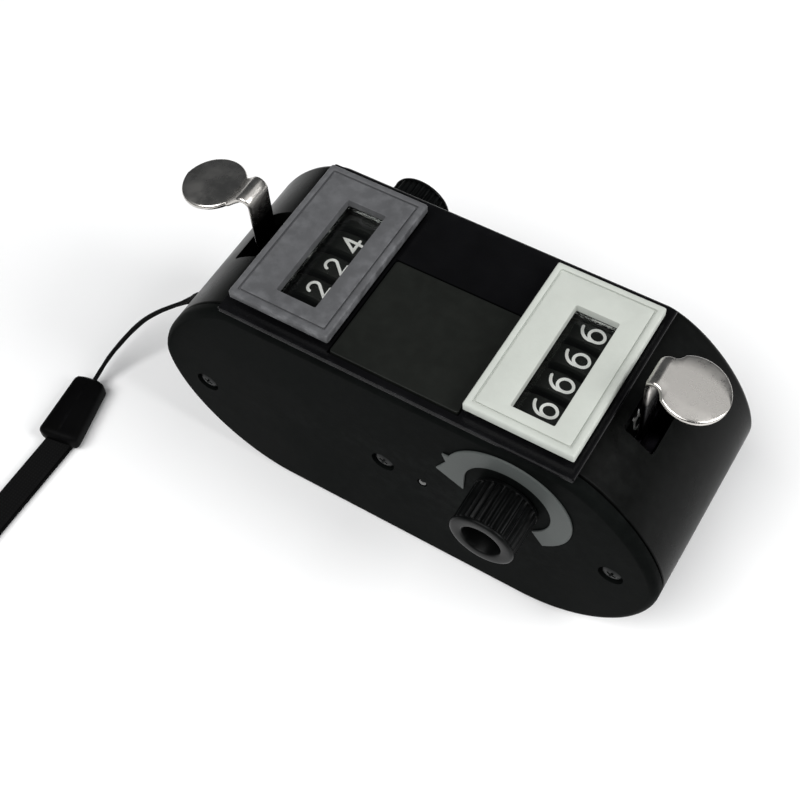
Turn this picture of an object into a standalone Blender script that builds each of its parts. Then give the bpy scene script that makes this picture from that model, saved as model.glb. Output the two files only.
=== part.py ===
"""Dual hand tally counter with two thumb levers, two reset knobs and a wrist strap.

Two four-digit counters sit side by side in one body. Each has four number wheels on a reset
shaft, three transfer pinions below them, a ratchet beside the units wheel, a sprung thumb lever
with a feed pawl, and a stop pawl. +X is to the right, +Y to the back and +Z up. The body stands
on Z = 0 with its middle at X = Y = 0. Sizes in this file are in millimetres, and every mesh is
made in metres through MM.
"""

from math import cos, pi, radians, sin

import bmesh
import bpy
from mathutils import Matrix, Vector

MM = 0.001
GAP = 0.3

# Body: a prism along Y whose outline is flat on top and below, with round ends.
LENGTH = 100.0
DEPTH = 38.5
HEIGHT = 48.2
WAIST = 25.2
TOP_FLAT = 31.4
BOTTOM_FLAT = 25.8
TOP_POWER = 1.55
BOTTOM_POWER = 1.87
WALL = 2.2
COVER_THICK = 2.4
EDGE_ROUND = 1.4
FRONT = -DEPTH / 2
BACK = DEPTH / 2
COVER_BACK = FRONT + COVER_THICK
SHELL_FRONT = COVER_BACK + GAP

# Deck, name plate and the two windows.
DECK_HALF = 33.4
DECK_FRONT = -18.9
DECK_BACK = 17.6
DECK_TOP = 49.4
PLATE_SIZE = (24.2, 21.2, 0.8)
PLATE_Y = -6.6
UNIT_X = 22.4
NECK_SIZE = (18.4, 30.2)
NECK_TOP = 50.3
BEZEL_SIZE = (19.6, 31.9)
BEZEL_Y = -0.7
BEZEL_TOP = 52.2
WINDOW_SIZE = (7.7, 22.0)

# Counter mechanism, for the right-hand counter. The left one is its mirror image across X = 0.
AXLE_Z = 34.3
SHAFT_R = 1.6
PIN_R = 1.0
STUD_R = 0.45
STOP_PIN_R = 0.6
RUNNING_FIT = 0.09
PRESS_FIT = 0.06
WHEEL_R = 12.6
RIM_WIDTH = 4.0
WHEEL_PITCH = 5.5
WHEEL_GEAR = (20, 10.5, 9.4)
PINION_GEAR = (8, 4.3, 3.2)
PINION_Z = AXLE_Z - 13.9
RATCHET_R = 8.6
SIDE_PLATE_Y = 12.3
PLATE_THICK = 1.0
BASE_TOP = 14.0
PIVOT = (9.5, 38.5)
ARM_Y = 13.7
ARM_THICK = 0.9
PAWL_PIVOT = (35.5, 39.4)
STOP_PIVOT = (12.4, 25.0)
STEM_X = 37.0
STEM_THICK = 1.0
STEM_WIDTH = 5.4
BEND_R = 1.3
SPRING_X = 37.5
SPRING_BOTTOM = 14.3
SPRING_TOP = 36.2
PAD_R = 5.85
KNOB_R = 6.0
KNOB_LENGTH = 9.1
ARROW_OUTER = 11.9
ARROW_INNER = 8.0
SCREWS = {"left": (-41.1, 21.2), "middle": (-2.4, 24.8), "right": (41.7, 25.5)}
COVER_PIN = (5.6, 24.4)

# Each counter: its side, its shift along Y, the side its knob is on, its window's place from its
# middle, its pad's place and tilt, the top of its strap's bend, the angle where the bend ends, and
# how far from the pad's middle it joins.
COUNTERS = {
    "right": {"side": 1, "shift": 0.0, "knob": -1, "window": (0.75, -2.2), "pad": (43.4, 56.9),
              "tilt": 0.19, "crest": 57.95, "bend_end": 80, "neck": 3.6},
    "left": {"side": -1, "shift": 2.3, "knob": 1, "window": (0.95, -1.4), "pad": (46.4, 54.2),
             "tilt": 0.12, "crest": 57.1, "bend_end": 45, "neck": 5.0},
}

# Wrist strap: a thin cord loop, a moulded connector and a ribbon loop on the ground.
CORD_R = 0.42
LUG = (-51.8, -2.0, 17.2)
CONNECTOR = {"near": (-71.8, -22.6), "far": (-69.3, -37.2), "widths": (6.6, 8.8), "thick": 4.2}
RIBBON_WIDTH = 5.5
RIBBON_THICK = 0.8
RIBBON_END_Y = -139.0

MATERIALS = {
    "body_black": ((0.012, 0.012, 0.013), 0.18, 0.0),
    "cover_black": ((0.016, 0.017, 0.017), 0.3, 0.0),
    "plate_black": ((0.02, 0.022, 0.02), 0.45, 0.0),
    "bezel_grey": ((0.1, 0.1, 0.108), 0.35, 0.0),
    "bezel_white": ((0.62, 0.65, 0.6), 0.35, 0.0),
    "lens_clear": ((0.9, 0.93, 0.92), 0.05, 0.0),
    "wheel_black": ((0.02, 0.02, 0.02), 0.4, 0.0),
    "arrow_grey": ((0.12, 0.13, 0.13), 0.4, 0.0),
    "lever_steel": ((0.72, 0.72, 0.7), 0.22, 1.0),
    "dark_steel": ((0.3, 0.3, 0.3), 0.35, 1.0),
    "brass_pinion": ((0.7, 0.5, 0.2), 0.35, 1.0),
    "screw_black": ((0.03, 0.03, 0.03), 0.35, 1.0),
    "pin_bright": ((0.75, 0.75, 0.75), 0.2, 1.0),
    "cord_black": ((0.015, 0.015, 0.016), 0.7, 0.0),
    "connector_black": ((0.01, 0.01, 0.01), 0.4, 0.0),
    "ribbon_black": ((0.012, 0.012, 0.013), 0.85, 0.0),
}


def clear_scene():
    for obj in list(bpy.data.objects):
        bpy.data.objects.remove(obj, do_unlink=True)


def collection(name):
    made = bpy.data.collections.new(name)
    bpy.context.scene.collection.children.link(made)
    return made


def material(name):
    if name in bpy.data.materials:
        return bpy.data.materials[name]
    color, roughness, metallic = MATERIALS[name]
    made = bpy.data.materials.new(name)
    made.use_nodes = True
    shader = made.node_tree.nodes["Principled BSDF"]
    shader.inputs["Base Color"].default_value = (*color, 1.0)
    shader.inputs["Roughness"].default_value = roughness
    shader.inputs["Metallic"].default_value = metallic
    return made


def place(name, mesh, slot, origin=(0.0, 0.0, 0.0), smooth=40.0):
    """Link a mesh in world millimetres as an object whose origin is at the given point."""
    mesh.transform(Matrix.Translation(-Vector(origin)))
    mesh.transform(Matrix.Scale(MM, 4))
    mesh.shade_smooth()
    mesh.set_sharp_from_angle(angle=radians(smooth))
    obj = bpy.data.objects.new(name, mesh)
    obj.location = Vector(origin) * MM
    obj.data.materials.append(material(slot))
    PARTS.objects.link(obj)
    return obj


def cutter(name, mesh):
    """Link a mesh in world millimetres as a hidden cutter."""
    mesh.transform(Matrix.Scale(MM, 4))
    obj = bpy.data.objects.new(name, mesh)
    obj.hide_render = True
    obj.display_type = "WIRE"
    CUTTERS.objects.link(obj)
    return obj


def combine(obj, mesh, operation="DIFFERENCE"):
    """Cut a mesh out of an object, or join it on with UNION."""
    tool = cutter(f"{obj.name}_{operation.lower()}", mesh)
    modifier = obj.modifiers.new(tool.name, "BOOLEAN")
    modifier.operation = operation
    modifier.solver = "EXACT"
    modifier.object = tool


def mesh_from(bm):
    bmesh.ops.recalc_face_normals(bm, faces=bm.faces[:])
    mesh = bpy.data.meshes.new("mesh")
    bm.to_mesh(mesh)
    bm.free()
    return mesh


def box(low, high, bevel=0.0):
    """A box between two corners, with all its edges rounded by the bevel."""
    bm = bmesh.new()
    bmesh.ops.create_cube(bm, size=1.0)
    size = Vector(high) - Vector(low)
    middle = (Vector(high) + Vector(low)) / 2
    bmesh.ops.scale(bm, vec=size, verts=bm.verts[:])
    bmesh.ops.translate(bm, vec=middle, verts=bm.verts[:])
    if bevel:
        bmesh.ops.bevel(bm, geom=bm.edges[:], offset=bevel, segments=2, profile=0.5, affect="EDGES")
    return mesh_from(bm)


def rod(x, z, y0, y1, radius, steps=24):
    """A round bar along Y."""
    bm = bmesh.new()
    turn = Matrix.Rotation(-pi / 2, 4, "X")
    bmesh.ops.create_cone(bm, cap_ends=True, segments=steps, radius1=radius, radius2=radius,
                          depth=y1 - y0, matrix=turn)
    bmesh.ops.translate(bm, vec=(x, (y0 + y1) / 2, z), verts=bm.verts[:])
    return mesh_from(bm)


def flat(outline, holes, low, high, axis="Y"):
    """An outline with holes, extruded from low to high along Y (XZ outline) or Z (XY outline)."""
    curve = bpy.data.curves.new("outline", "CURVE")
    curve.dimensions = "2D"
    curve.fill_mode = "BOTH"
    curve.extrude = (high - low) / 2
    for points in [outline, *holes]:
        spline = curve.splines.new("POLY")
        spline.points.add(len(points) - 1)
        for point, (u, v) in zip(spline.points, points):
            point.co = (u, v, 0.0, 1.0)
        spline.use_cyclic_u = True
    guide = bpy.data.objects.new("outline", curve)
    PARTS.objects.link(guide)
    evaluated = guide.evaluated_get(bpy.context.evaluated_depsgraph_get())
    mesh = bpy.data.meshes.new_from_object(evaluated)
    bpy.data.objects.remove(guide)
    bm = bmesh.new()
    bm.from_mesh(mesh)
    bpy.data.meshes.remove(mesh)
    bmesh.ops.remove_doubles(bm, verts=bm.verts[:], dist=0.0001)
    middle = (low + high) / 2
    if axis == "Y":
        bmesh.ops.rotate(bm, verts=bm.verts[:], matrix=Matrix.Rotation(pi / 2, 3, "X"))
        bmesh.ops.translate(bm, vec=(0, middle, 0), verts=bm.verts[:])
    else:
        bmesh.ops.translate(bm, vec=(0, 0, middle), verts=bm.verts[:])
    return mesh_from(bm)


def turned(profile, x, z, steps):
    """A closed (radius, y) cross-section turned about the Y axis through x, z."""
    bm = bmesh.new()
    verts = [bm.verts.new((radius, y, 0.0)) for radius, y in profile]
    edges = [bm.edges.new((verts[i], verts[(i + 1) % len(verts)])) for i in range(len(verts))]
    bmesh.ops.spin(bm, geom=verts + edges, axis=(0, 1, 0), cent=(0, 0, 0), dvec=(0, 0, 0),
                   angle=2 * pi, steps=steps, use_merge=True, use_normal_flip=False)
    bmesh.ops.remove_doubles(bm, verts=bm.verts[:], dist=0.0001)
    bmesh.ops.translate(bm, vec=(x, 0, z), verts=bm.verts[:])
    return mesh_from(bm)


def circle(x, z, radius, steps=24):
    angles = [2 * pi * i / steps for i in range(steps)]
    return [(x + radius * cos(a), z + radius * sin(a)) for a in angles]


def arc(x, z, radius, start, end, steps):
    """Points on an arc, with its angles in degrees."""
    angles = [radians(start + (end - start) * i / steps) for i in range(steps + 1)]
    return [(x + radius * cos(a), z + radius * sin(a)) for a in angles]


def toothed(x, z, gear, phase=0.0):
    """A toothed outline: as many teeth as stated, between its tip and root radius."""
    teeth, tip, root = gear
    radii = [tip, root] * teeth
    step = pi / teeth
    return [(x + r * cos(phase + i * step), z + r * sin(phase + i * step)) for i, r in enumerate(radii)]


def oval(inset=0.0, steps=12):
    """The body's outline in XZ: two flats joined by rounded ends, moved in by the inset."""
    half = LENGTH / 2 - inset
    top_flat = TOP_FLAT - 0.3 * inset
    bottom_flat = BOTTOM_FLAT - 0.3 * inset
    side = []
    for i in range(steps + 1):
        t = i * pi / 2 / steps
        side.append((top_flat + (half - top_flat) * sin(t) ** (2 / TOP_POWER),
                     WAIST + (HEIGHT - inset - WAIST) * cos(t) ** (2 / TOP_POWER)))
    for i in range(1, steps + 1):
        t = i * pi / 2 / steps
        side.append((bottom_flat + (half - bottom_flat) * cos(t) ** (2 / BOTTOM_POWER),
                     WAIST - (WAIST - inset) * sin(t) ** (2 / BOTTOM_POWER)))
    return side + [(-x, z) for x, z in reversed(side)]


def oval_prism(sections):
    """A closed prism through oval sections, given as (y, inset) from front to back."""
    bm = bmesh.new()
    rings = [[bm.verts.new((x, y, z)) for x, z in oval(inset)] for y, inset in sections]
    count = len(rings[0])
    for near, far in zip(rings, rings[1:]):
        for i in range(count):
            j = (i + 1) % count
            bm.faces.new((near[i], near[j], far[j], far[i]))
    bm.faces.new(rings[0])
    bm.faces.new(rings[-1])
    return mesh_from(bm)


def rounded_end(edge, inward, radius, steps=3):
    """Sections of a rounded edge, from the flat face at edge to the full outline."""
    sections = []
    for i in range(steps + 1):
        t = i * pi / 2 / steps
        sections.append((edge + inward * radius * (1 - cos(t)), radius * (1 - sin(t))))
    return sections


def mirrored(points, side):
    return [(side * x, z) for x, z in points]


def slot_hull(a, b, radius_a, radius_b, steps=8):
    """The outline round two circles, as for a link with two round ends."""
    (ax, az), (bx, bz) = a, b
    along = (Vector(b) - Vector(a)).normalized()
    heading = Vector((1, 0)).angle_signed(along)
    turn = -heading
    first = [(ax + radius_a * cos(turn + pi / 2 + pi * i / steps),
              az + radius_a * sin(turn + pi / 2 + pi * i / steps)) for i in range(steps + 1)]
    second = [(bx + radius_b * cos(turn - pi / 2 + pi * i / steps),
               bz + radius_b * sin(turn - pi / 2 + pi * i / steps)) for i in range(steps + 1)]
    return first + second


# ---------------------------------------------------------------- body

def make_shell():
    sections = [(SHELL_FRONT, 0.0)] + rounded_end(BACK, -1, EDGE_ROUND)[::-1]
    shell = place("body_shell", oval_prism(sections), "body_black")
    combine(shell, oval_prism([(SHELL_FRONT - 1, WALL), (BACK - WALL, WALL)]))
    for counter in COUNTERS.values():
        side = counter["side"]
        x = side * UNIT_X
        half_x = NECK_SIZE[0] / 2 - 0.7
        half_y = NECK_SIZE[1] / 2 - 0.7
        combine(shell, box((x - half_x, -half_y, HEIGHT - 6), (x + half_x, half_y, HEIGHT + 2)))
        near, far = sorted((side * 35.2, side * 40.6))
        combine(shell, box((near, -5.4, 37.5), (far, 6.0, HEIGHT + 2)))
        for rib_x in (13.0, 30.0):
            left = side * rib_x
            combine(shell, box((left - 0.9, -15.9, 1.0), (left + 0.9, BACK - 1, BASE_TOP - 1.3)), "UNION")
    for x, z in SCREWS.values():
        combine(shell, rod(x, z, SHELL_FRONT + 0.6, BACK - 1, 1.9, 12), "UNION")
        combine(shell, rod(x, z, SHELL_FRONT - 2, -6.0, 1.25, 12))
    combine(shell, rod(-UNIT_X, AXLE_Z, BACK - 4, BACK + 2, SHAFT_R + 0.5, 16))
    make_lug(shell)


def make_lug(shell):
    """A moulded eye on the left end, which the strap's cord runs through."""
    x, y, z = LUG
    eye = flat(circle(x, y, 3.1, 16), [circle(x, y, 1.6, 12)], z - 1.1, z + 1.1, axis="Z")
    combine(shell, eye, "UNION")


def make_front_cover():
    sections = rounded_end(FRONT, 1, EDGE_ROUND) + [(COVER_BACK, 0.0)]
    cover = place("front_cover", oval_prism(sections), "cover_black")
    combine(cover, rod(UNIT_X, AXLE_Z, FRONT - 1, COVER_BACK + 1, SHAFT_R + 0.5, 16))
    for x, z in SCREWS.values():
        combine(cover, rod(x, z, FRONT - 1, COVER_BACK + 1, 1.3, 12))
        combine(cover, rod(x, z, FRONT - 1, FRONT + 1.3, 2.3, 20))
    combine(cover, rod(*COVER_PIN, FRONT - 1, COVER_BACK + 1, 1.1, 12))


def make_screw(name, x, z):
    """A cover screw: a flat head with a cross recess, and its shank."""
    head_top = FRONT + 0.15
    profile = [(0.001, head_top), (1.95, head_top), (1.95, head_top + 0.85), (1.0, head_top + 0.85),
               (1.0, FRONT + 9.0), (0.001, FRONT + 9.4)]
    bm = bmesh.new()
    verts = [bm.verts.new((radius, y, 0.0)) for radius, y in profile]
    edges = [bm.edges.new((a, b)) for a, b in zip(verts, verts[1:])]
    bmesh.ops.spin(bm, geom=verts + edges, axis=(0, 1, 0), cent=(0, 0, 0), dvec=(0, 0, 0),
                   angle=2 * pi, steps=16, use_merge=True, use_normal_flip=False)
    bmesh.ops.remove_doubles(bm, verts=bm.verts[:], dist=0.01)
    bmesh.ops.translate(bm, vec=(x, 0, z), verts=bm.verts[:])
    screw = place(name, mesh_from(bm), "screw_black")
    combine(screw, box((x - 1.2, head_top - 1, z - 0.3), (x + 1.2, head_top + 0.6, z + 0.3)))
    combine(screw, box((x - 0.3, head_top - 1, z - 1.2), (x + 0.3, head_top + 0.6, z + 1.2)))


def make_cover_pin():
    x, z = COVER_PIN
    place("cover_pin", rod(x, z, FRONT - 0.15, FRONT + 5.0, 0.75, 12), "pin_bright")


def make_deck():
    """The raised deck: it follows the body's top, and is open over each counter."""
    top = [(-DECK_HALF, DECK_TOP), (DECK_HALF, DECK_TOP)]
    under = [(x, z + GAP) for x, z in oval() if abs(x) < DECK_HALF and z > WAIST]
    right = sorted((p for p in under if p[0] > 0), reverse=True)
    left = sorted((p for p in under if p[0] < 0), reverse=True)
    end_z = min(z for x, z in under) - 0.45
    outline = top + [(DECK_HALF, end_z)] + right + left + [(-DECK_HALF, end_z)]
    bm = bmesh.new()
    bm.from_mesh(flat(outline, [], DECK_FRONT, DECK_BACK))
    rim = [e for e in bm.edges if all(abs(v.co.z - DECK_TOP) < 0.01 for v in e.verts)
           and (all(abs(abs(v.co.x) - DECK_HALF) < 0.01 for v in e.verts)
                or all(abs(v.co.y - DECK_FRONT) < 0.01 for v in e.verts)
                or all(abs(v.co.y - DECK_BACK) < 0.01 for v in e.verts))]
    bmesh.ops.bevel(bm, geom=rim, offset=0.4, segments=2, profile=0.5, affect="EDGES")
    deck = place("top_deck", mesh_from(bm), "body_black")
    half_x = NECK_SIZE[0] / 2 + GAP
    half_y = NECK_SIZE[1] / 2 + GAP
    for x in (-UNIT_X, UNIT_X):
        combine(deck, box((x - half_x, -half_y, HEIGHT - 3), (x + half_x, half_y, DECK_TOP + 2)))
    width, depth, thick = PLATE_SIZE
    plate_bottom = DECK_TOP - 0.6
    combine(deck, box((-width / 2 - GAP, PLATE_Y - depth / 2 - GAP, plate_bottom - 0.2),
                      (width / 2 + GAP, PLATE_Y + depth / 2 + GAP, DECK_TOP + 1)))
    place("name_plate", box((-width / 2, PLATE_Y - depth / 2, plate_bottom),
                            (width / 2, PLATE_Y + depth / 2, plate_bottom + thick), 0.12), "plate_black")


def arrow_outline(x, z, side):
    """A ring band that runs anticlockwise over the top and ends in a three-cornered head."""
    outer = arc(0, 0, ARROW_OUTER, -61, 157, 22)
    head = [(-12.2, 4.5), (-11.5, 2.5), (-13.5, -1.0), (-8.3, -3.8)]
    inner = arc(0, 0, ARROW_INNER, 180, -60, 22)
    return [(x + side * u, z + v) for u, v in outer + head + inner]


def make_arrows():
    front = arrow_outline(UNIT_X, AXLE_Z, 1)
    rear = arrow_outline(-UNIT_X, AXLE_Z, -1)
    place("front_arrow", flat(front, [], FRONT - 0.4, FRONT - 0.08), "arrow_grey")
    place("rear_arrow", flat(rear, [], BACK + 0.08, BACK + 0.4), "arrow_grey")


# ---------------------------------------------------------------- windows

def make_window(label, counter, bezel_slot):
    x = counter["side"] * UNIT_X
    window_x = x + counter["window"][0]
    window_y = counter["window"][1]
    neck_x, neck_y = (size / 2 for size in NECK_SIZE)
    mask = place(f"dial_mask_{label}",
                 box((x - neck_x, -neck_y, HEIGHT + GAP), (x + neck_x, neck_y, NECK_TOP)), "body_black")
    combine(mask, box((x - neck_x + 1.2, -neck_y + 1.2, HEIGHT - 1),
                      (x + neck_x - 1.2, neck_y - 1.2, NECK_TOP - 1.0)))
    half_x = WINDOW_SIZE[0] / 2 + 0.6
    half_y = WINDOW_SIZE[1] / 2 + 0.6
    combine(mask, box((window_x - half_x, window_y - half_y, NECK_TOP - 2),
                      (window_x + half_x, window_y + half_y, NECK_TOP + 1)))
    place(f"lens_{label}", box((window_x - half_x + GAP, window_y - half_y + GAP, NECK_TOP - 0.9),
                               (window_x + half_x - GAP, window_y + half_y - GAP, NECK_TOP - 0.1)),
          "lens_clear")
    bezel_x, bezel_y = (size / 2 for size in BEZEL_SIZE)
    corners = ((-1, -1), (1, -1), (1, 1), (-1, 1))
    outline = [(x + sx * bezel_x, BEZEL_Y + sy * bezel_y) for sx, sy in corners]
    opening = [(window_x + sx * WINDOW_SIZE[0] / 2, window_y + sy * WINDOW_SIZE[1] / 2)
               for sx, sy in corners]
    bm = bmesh.new()
    bm.from_mesh(flat(outline, [opening], NECK_TOP + GAP / 2, BEZEL_TOP, axis="Z"))
    rim = [e for e in bm.edges if all(abs(v.co.z - BEZEL_TOP) < 0.01 for v in e.verts)
           and (all(abs(abs(v.co.x - x) - bezel_x) < 0.01 for v in e.verts)
                or all(abs(abs(v.co.y - BEZEL_Y) - bezel_y) < 0.01 for v in e.verts))]
    bmesh.ops.bevel(bm, geom=rim, offset=0.35, segments=2, profile=0.5, affect="EDGES")
    place(f"bezel_{label}", mesh_from(bm), bezel_slot)


# ---------------------------------------------------------------- counter mechanism

def make_chassis(label, counter):
    """A channel of floor and two side plates, with holes for the shafts and pins."""
    side, shift = counter["side"], counter["shift"]
    near, far = sorted((side * 7.0, side * 33.6))
    outer = SIDE_PLATE_Y + PLATE_THICK
    blank = box((near, shift - outer, BASE_TOP - 1), (far, shift + outer, 42.6))
    chassis = place(f"chassis_{label}", blank, "dark_steel")
    combine(chassis, box((near - 1, shift - SIDE_PLATE_Y, BASE_TOP), (far + 1, shift + SIDE_PLATE_Y, 44)))
    low, high = sorted((side * 32.6, side * 40.2))
    combine(chassis, box((low, -3.0, BASE_TOP - 1), (high, 3.0, BASE_TOP)), "UNION")
    holes = [(UNIT_X, AXLE_Z, SHAFT_R + RUNNING_FIT, 24), (UNIT_X, PINION_Z, PIN_R + PRESS_FIT, 16),
             (*PIVOT, PIN_R + PRESS_FIT, 16)]
    for x, z, radius, steps in holes:
        combine(chassis, rod(side * x, z, shift - outer - 1, shift + outer + 1, radius, steps))
    combine(chassis, rod(side * STOP_PIVOT[0], STOP_PIVOT[1], shift + 11, shift + outer + 1,
                         STOP_PIN_R + PRESS_FIT, 12))


def wheel_centres(shift):
    """Middle of each number wheel along Y, thousands first."""
    return {name: shift + (i - 1.5) * WHEEL_PITCH
            for i, name in enumerate(("thousands", "hundreds", "tens", "units"))}


def make_number_wheel(label, counter, name, centre):
    """A rim on a web and hub, with a gear on its back and a carry tooth on its front."""
    x = counter["side"] * UNIT_X
    half = RIM_WIDTH / 2
    hub_r, bore, rim_in = 3.0, SHAFT_R + RUNNING_FIT, WHEEL_R - 1.3
    gear_back = half + 0.6
    profile = [(bore, -2.4), (hub_r, -2.4), (hub_r, 0.8), (rim_in, 0.8), (rim_in, -half), (WHEEL_R, -half),
               (WHEEL_R, half), (hub_r, half), (hub_r, gear_back + 0.2), (bore, gear_back + 0.2)]
    section = [(radius, y + centre) for radius, y in profile]
    wheel = place(f"{name}_wheel_{label}", turned(section, x, AXLE_Z, 24), "wheel_black",
                  origin=(x, centre, AXLE_Z))
    if name != "units":
        gear = toothed(x, AXLE_Z, WHEEL_GEAR, phase=-pi / 2 + pi / WHEEL_GEAR[0])
        hub_hole = circle(x, AXLE_Z, hub_r - 0.5, 16)
        combine(wheel, flat(gear, [hub_hole], centre + half - 0.3, centre + gear_back), "UNION")
    if name != "thousands":
        tooth = box((9.0, centre - half - 0.6, -0.5), (9.9, centre + 1.0, 0.5))
        tooth.transform(Matrix.Translation((x, 0, AXLE_Z)) @ Matrix.Rotation(-pi / 4, 4, "Y"))
        combine(wheel, tooth, "UNION")


def make_ratchet(label, counter, units_centre):
    x = counter["side"] * UNIT_X
    outline = []
    for i in range(10):
        start = i * 36 + 18
        outline += arc(0, 0, RATCHET_R, start, start, 1)[:1]
        outline += arc(0, 0, RATCHET_R - 1.4, start + 8, start + 8, 1)[:1]
    points = [(x + counter["side"] * u, AXLE_Z + v) for u, v in outline]
    low = units_centre + RIM_WIDTH / 2 + 0.25
    ratchet = flat(points, [circle(x, AXLE_Z, SHAFT_R + RUNNING_FIT, 24)], low + 0.6, low + 1.7)
    place(f"ratchet_{label}", ratchet, "dark_steel", origin=(x, low, AXLE_Z))


def make_pinions(label, counter, centres):
    x = counter["side"] * UNIT_X
    shift = counter["shift"]
    outer = SIDE_PLATE_Y + PLATE_THICK
    place(f"pinion_shaft_{label}", rod(x, PINION_Z, shift - outer - 0.3, shift + outer + 0.3, PIN_R, 16),
          "dark_steel")
    outline = toothed(x, PINION_Z, PINION_GEAR, phase=pi / 2)
    for name in ("thousands", "hundreds", "tens"):
        start = centres[name] + RIM_WIDTH / 2 + 0.15
        pinion = flat(outline, [circle(x, PINION_Z, PIN_R + RUNNING_FIT, 16)], start, start + 1.1)
        place(f"{name}_pinion_{label}", pinion, "brass_pinion", origin=(x, start, PINION_Z))


def make_reset(label, counter):
    """The reset shaft through the wheels, and the ribbed knob that turns it."""
    x = counter["side"] * UNIT_X
    shift, way = counter["shift"], counter["knob"]
    outer = SIDE_PLATE_Y + PLATE_THICK
    base = DEPTH / 2 + 0.5
    face = DEPTH / 2 + KNOB_LENGTH
    ends = sorted((way * (base + 2.6), shift - way * outer))
    place(f"reset_shaft_{label}", rod(x, AXLE_Z, ends[0], ends[1], SHAFT_R, 24), "dark_steel",
          origin=(x, way * base, AXLE_Z))
    ribs = toothed(x, AXLE_Z, (24, KNOB_R - 0.05, KNOB_R - 0.5))
    low, high = sorted((way * (base + 1.4), way * (face - 0.7)))
    knob = place(f"reset_knob_{label}", flat(ribs, [], low, high), "body_black",
                 origin=(x, way * base, AXLE_Z))
    flange = sorted((way * base, way * (base + 1.6)))
    combine(knob, rod(x, AXLE_Z, flange[0], flange[1], KNOB_R + 0.2, 32), "UNION")
    rim = sorted((way * (face - 0.9), way * face))
    combine(knob, rod(x, AXLE_Z, rim[0], rim[1], KNOB_R, 32), "UNION")
    hole = sorted((way * (face - 5.2), way * (face + 1)))
    combine(knob, rod(x, AXLE_Z, hole[0], hole[1], KNOB_R * 0.6, 24))
    bore = sorted((way * (base - 1), way * (base + 2.8)))
    combine(knob, rod(x, AXLE_Z, bore[0], bore[1], SHAFT_R + PRESS_FIT, 24))


def lever_path(counter):
    """Centreline of the strap in XZ, from its foot in the body to the pad's inner edge."""
    pad_x, pad_z = counter["pad"]
    tilt, bend_z = counter["tilt"], counter["crest"] - BEND_R
    points = [(STEM_X, 40.6), (STEM_X, 47.0), (STEM_X, bend_z)]
    points += arc(STEM_X + BEND_R, bend_z, BEND_R, 160, counter["bend_end"], 4)
    points.append((pad_x - counter["neck"] * cos(tilt), pad_z + counter["neck"] * sin(tilt)))
    points.append((pad_x, pad_z))
    return points


def arched_arm():
    """One arm's outline: from the hinge, over the reset shaft in an arch, to the cross-bar."""
    tip = (STEM_X - 1.2, 39.1)
    low = [(15.5, 39.5), (19.0, 40.4), (UNIT_X, 40.7), (26.0, 40.4), (29.5, 39.6)]
    high = [(30.2, 42.8), (26.5, 43.7), (UNIT_X, 43.9), (18.0, 43.6), (14.5, 42.5)]
    return arc(*PIVOT, 2.2, 100, 280, 8) + low + arc(*tip, 1.7, -100, 70, 8) + high


def make_lever(label, counter):
    """One bent strap: pad, stem through the body's slot, cross-bar and two arms to the hinge."""
    side, shift = counter["side"], counter["shift"]
    pad_x, pad_z = counter["pad"]
    path = lever_path(counter)
    widths = [STEM_WIDTH] * 3 + [5.6, 5.9, 6.3, 6.8, 7.4, 8.2, 8.2]
    bm = bmesh.new()
    rings = []
    for i, (x, z) in enumerate(path):
        before = Vector(path[max(i - 1, 0)])
        after = Vector(path[min(i + 1, len(path) - 1)])
        along = (after - before).normalized()
        across = Vector((-along.y, along.x)) * STEM_THICK / 2
        half = widths[i] / 2
        ring = [(x + across.x, -half, z + across.y), (x + across.x, half, z + across.y),
                (x - across.x, half, z - across.y), (x - across.x, -half, z - across.y)]
        rings.append([bm.verts.new((side * u, v, w)) for u, v, w in ring])
    for near, far in zip(rings, rings[1:]):
        for i in range(4):
            j = (i + 1) % 4
            bm.faces.new((near[i], near[j], far[j], far[i]))
    bm.faces.new(rings[0])
    bm.faces.new(rings[-1])
    origin = (side * PIVOT[0], shift, PIVOT[1])
    lever = place(f"lever_{label}", mesh_from(bm), "lever_steel", origin=origin)
    pad = rod(0, 0, -0.5, 0.5, PAD_R, 32)
    pad.transform(Matrix.Rotation(pi / 2, 4, "X"))
    tilt = Matrix.Rotation(side * counter["tilt"], 4, "Y")
    pad.transform(Matrix.Translation((side * pad_x, 0, pad_z)) @ tilt)
    combine(lever, pad, "UNION")
    reach = ARM_Y + ARM_THICK
    near, far = sorted((side * (STEM_X - 0.5), side * (STEM_X + 0.5)))
    combine(lever, box((near, shift - reach, 37.2), (far, shift + reach, 41.0)), "UNION")
    seat = sorted((side * (SPRING_X - 1.5), side * (SPRING_X + 1.9)))
    combine(lever, box((seat[0], -1.9, 36.5), (seat[1], 1.9, 37.4)), "UNION")
    arm = arched_arm()
    for y in (shift - reach, shift + ARM_Y):
        eye = mirrored(circle(*PIVOT, PIN_R + RUNNING_FIT, 16), side)
        combine(lever, flat(mirrored(arm, side), [eye], y, y + ARM_THICK), "UNION")
    ear = slot_hull(PAWL_PIVOT, (STEM_X, 39.4), 0.95, 0.95)
    combine(lever, flat(mirrored(ear, side), [], shift + 11.95, shift + 12.65), "UNION")
    stud = (side * PAWL_PIVOT[0], PAWL_PIVOT[1], shift + 10.5, shift + 12.2)
    combine(lever, rod(*stud, STUD_R, 12), "UNION")
    place(f"hinge_pin_{label}", rod(side * PIVOT[0], PIVOT[1], shift - reach, shift + reach, PIN_R, 16),
          "dark_steel")


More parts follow.
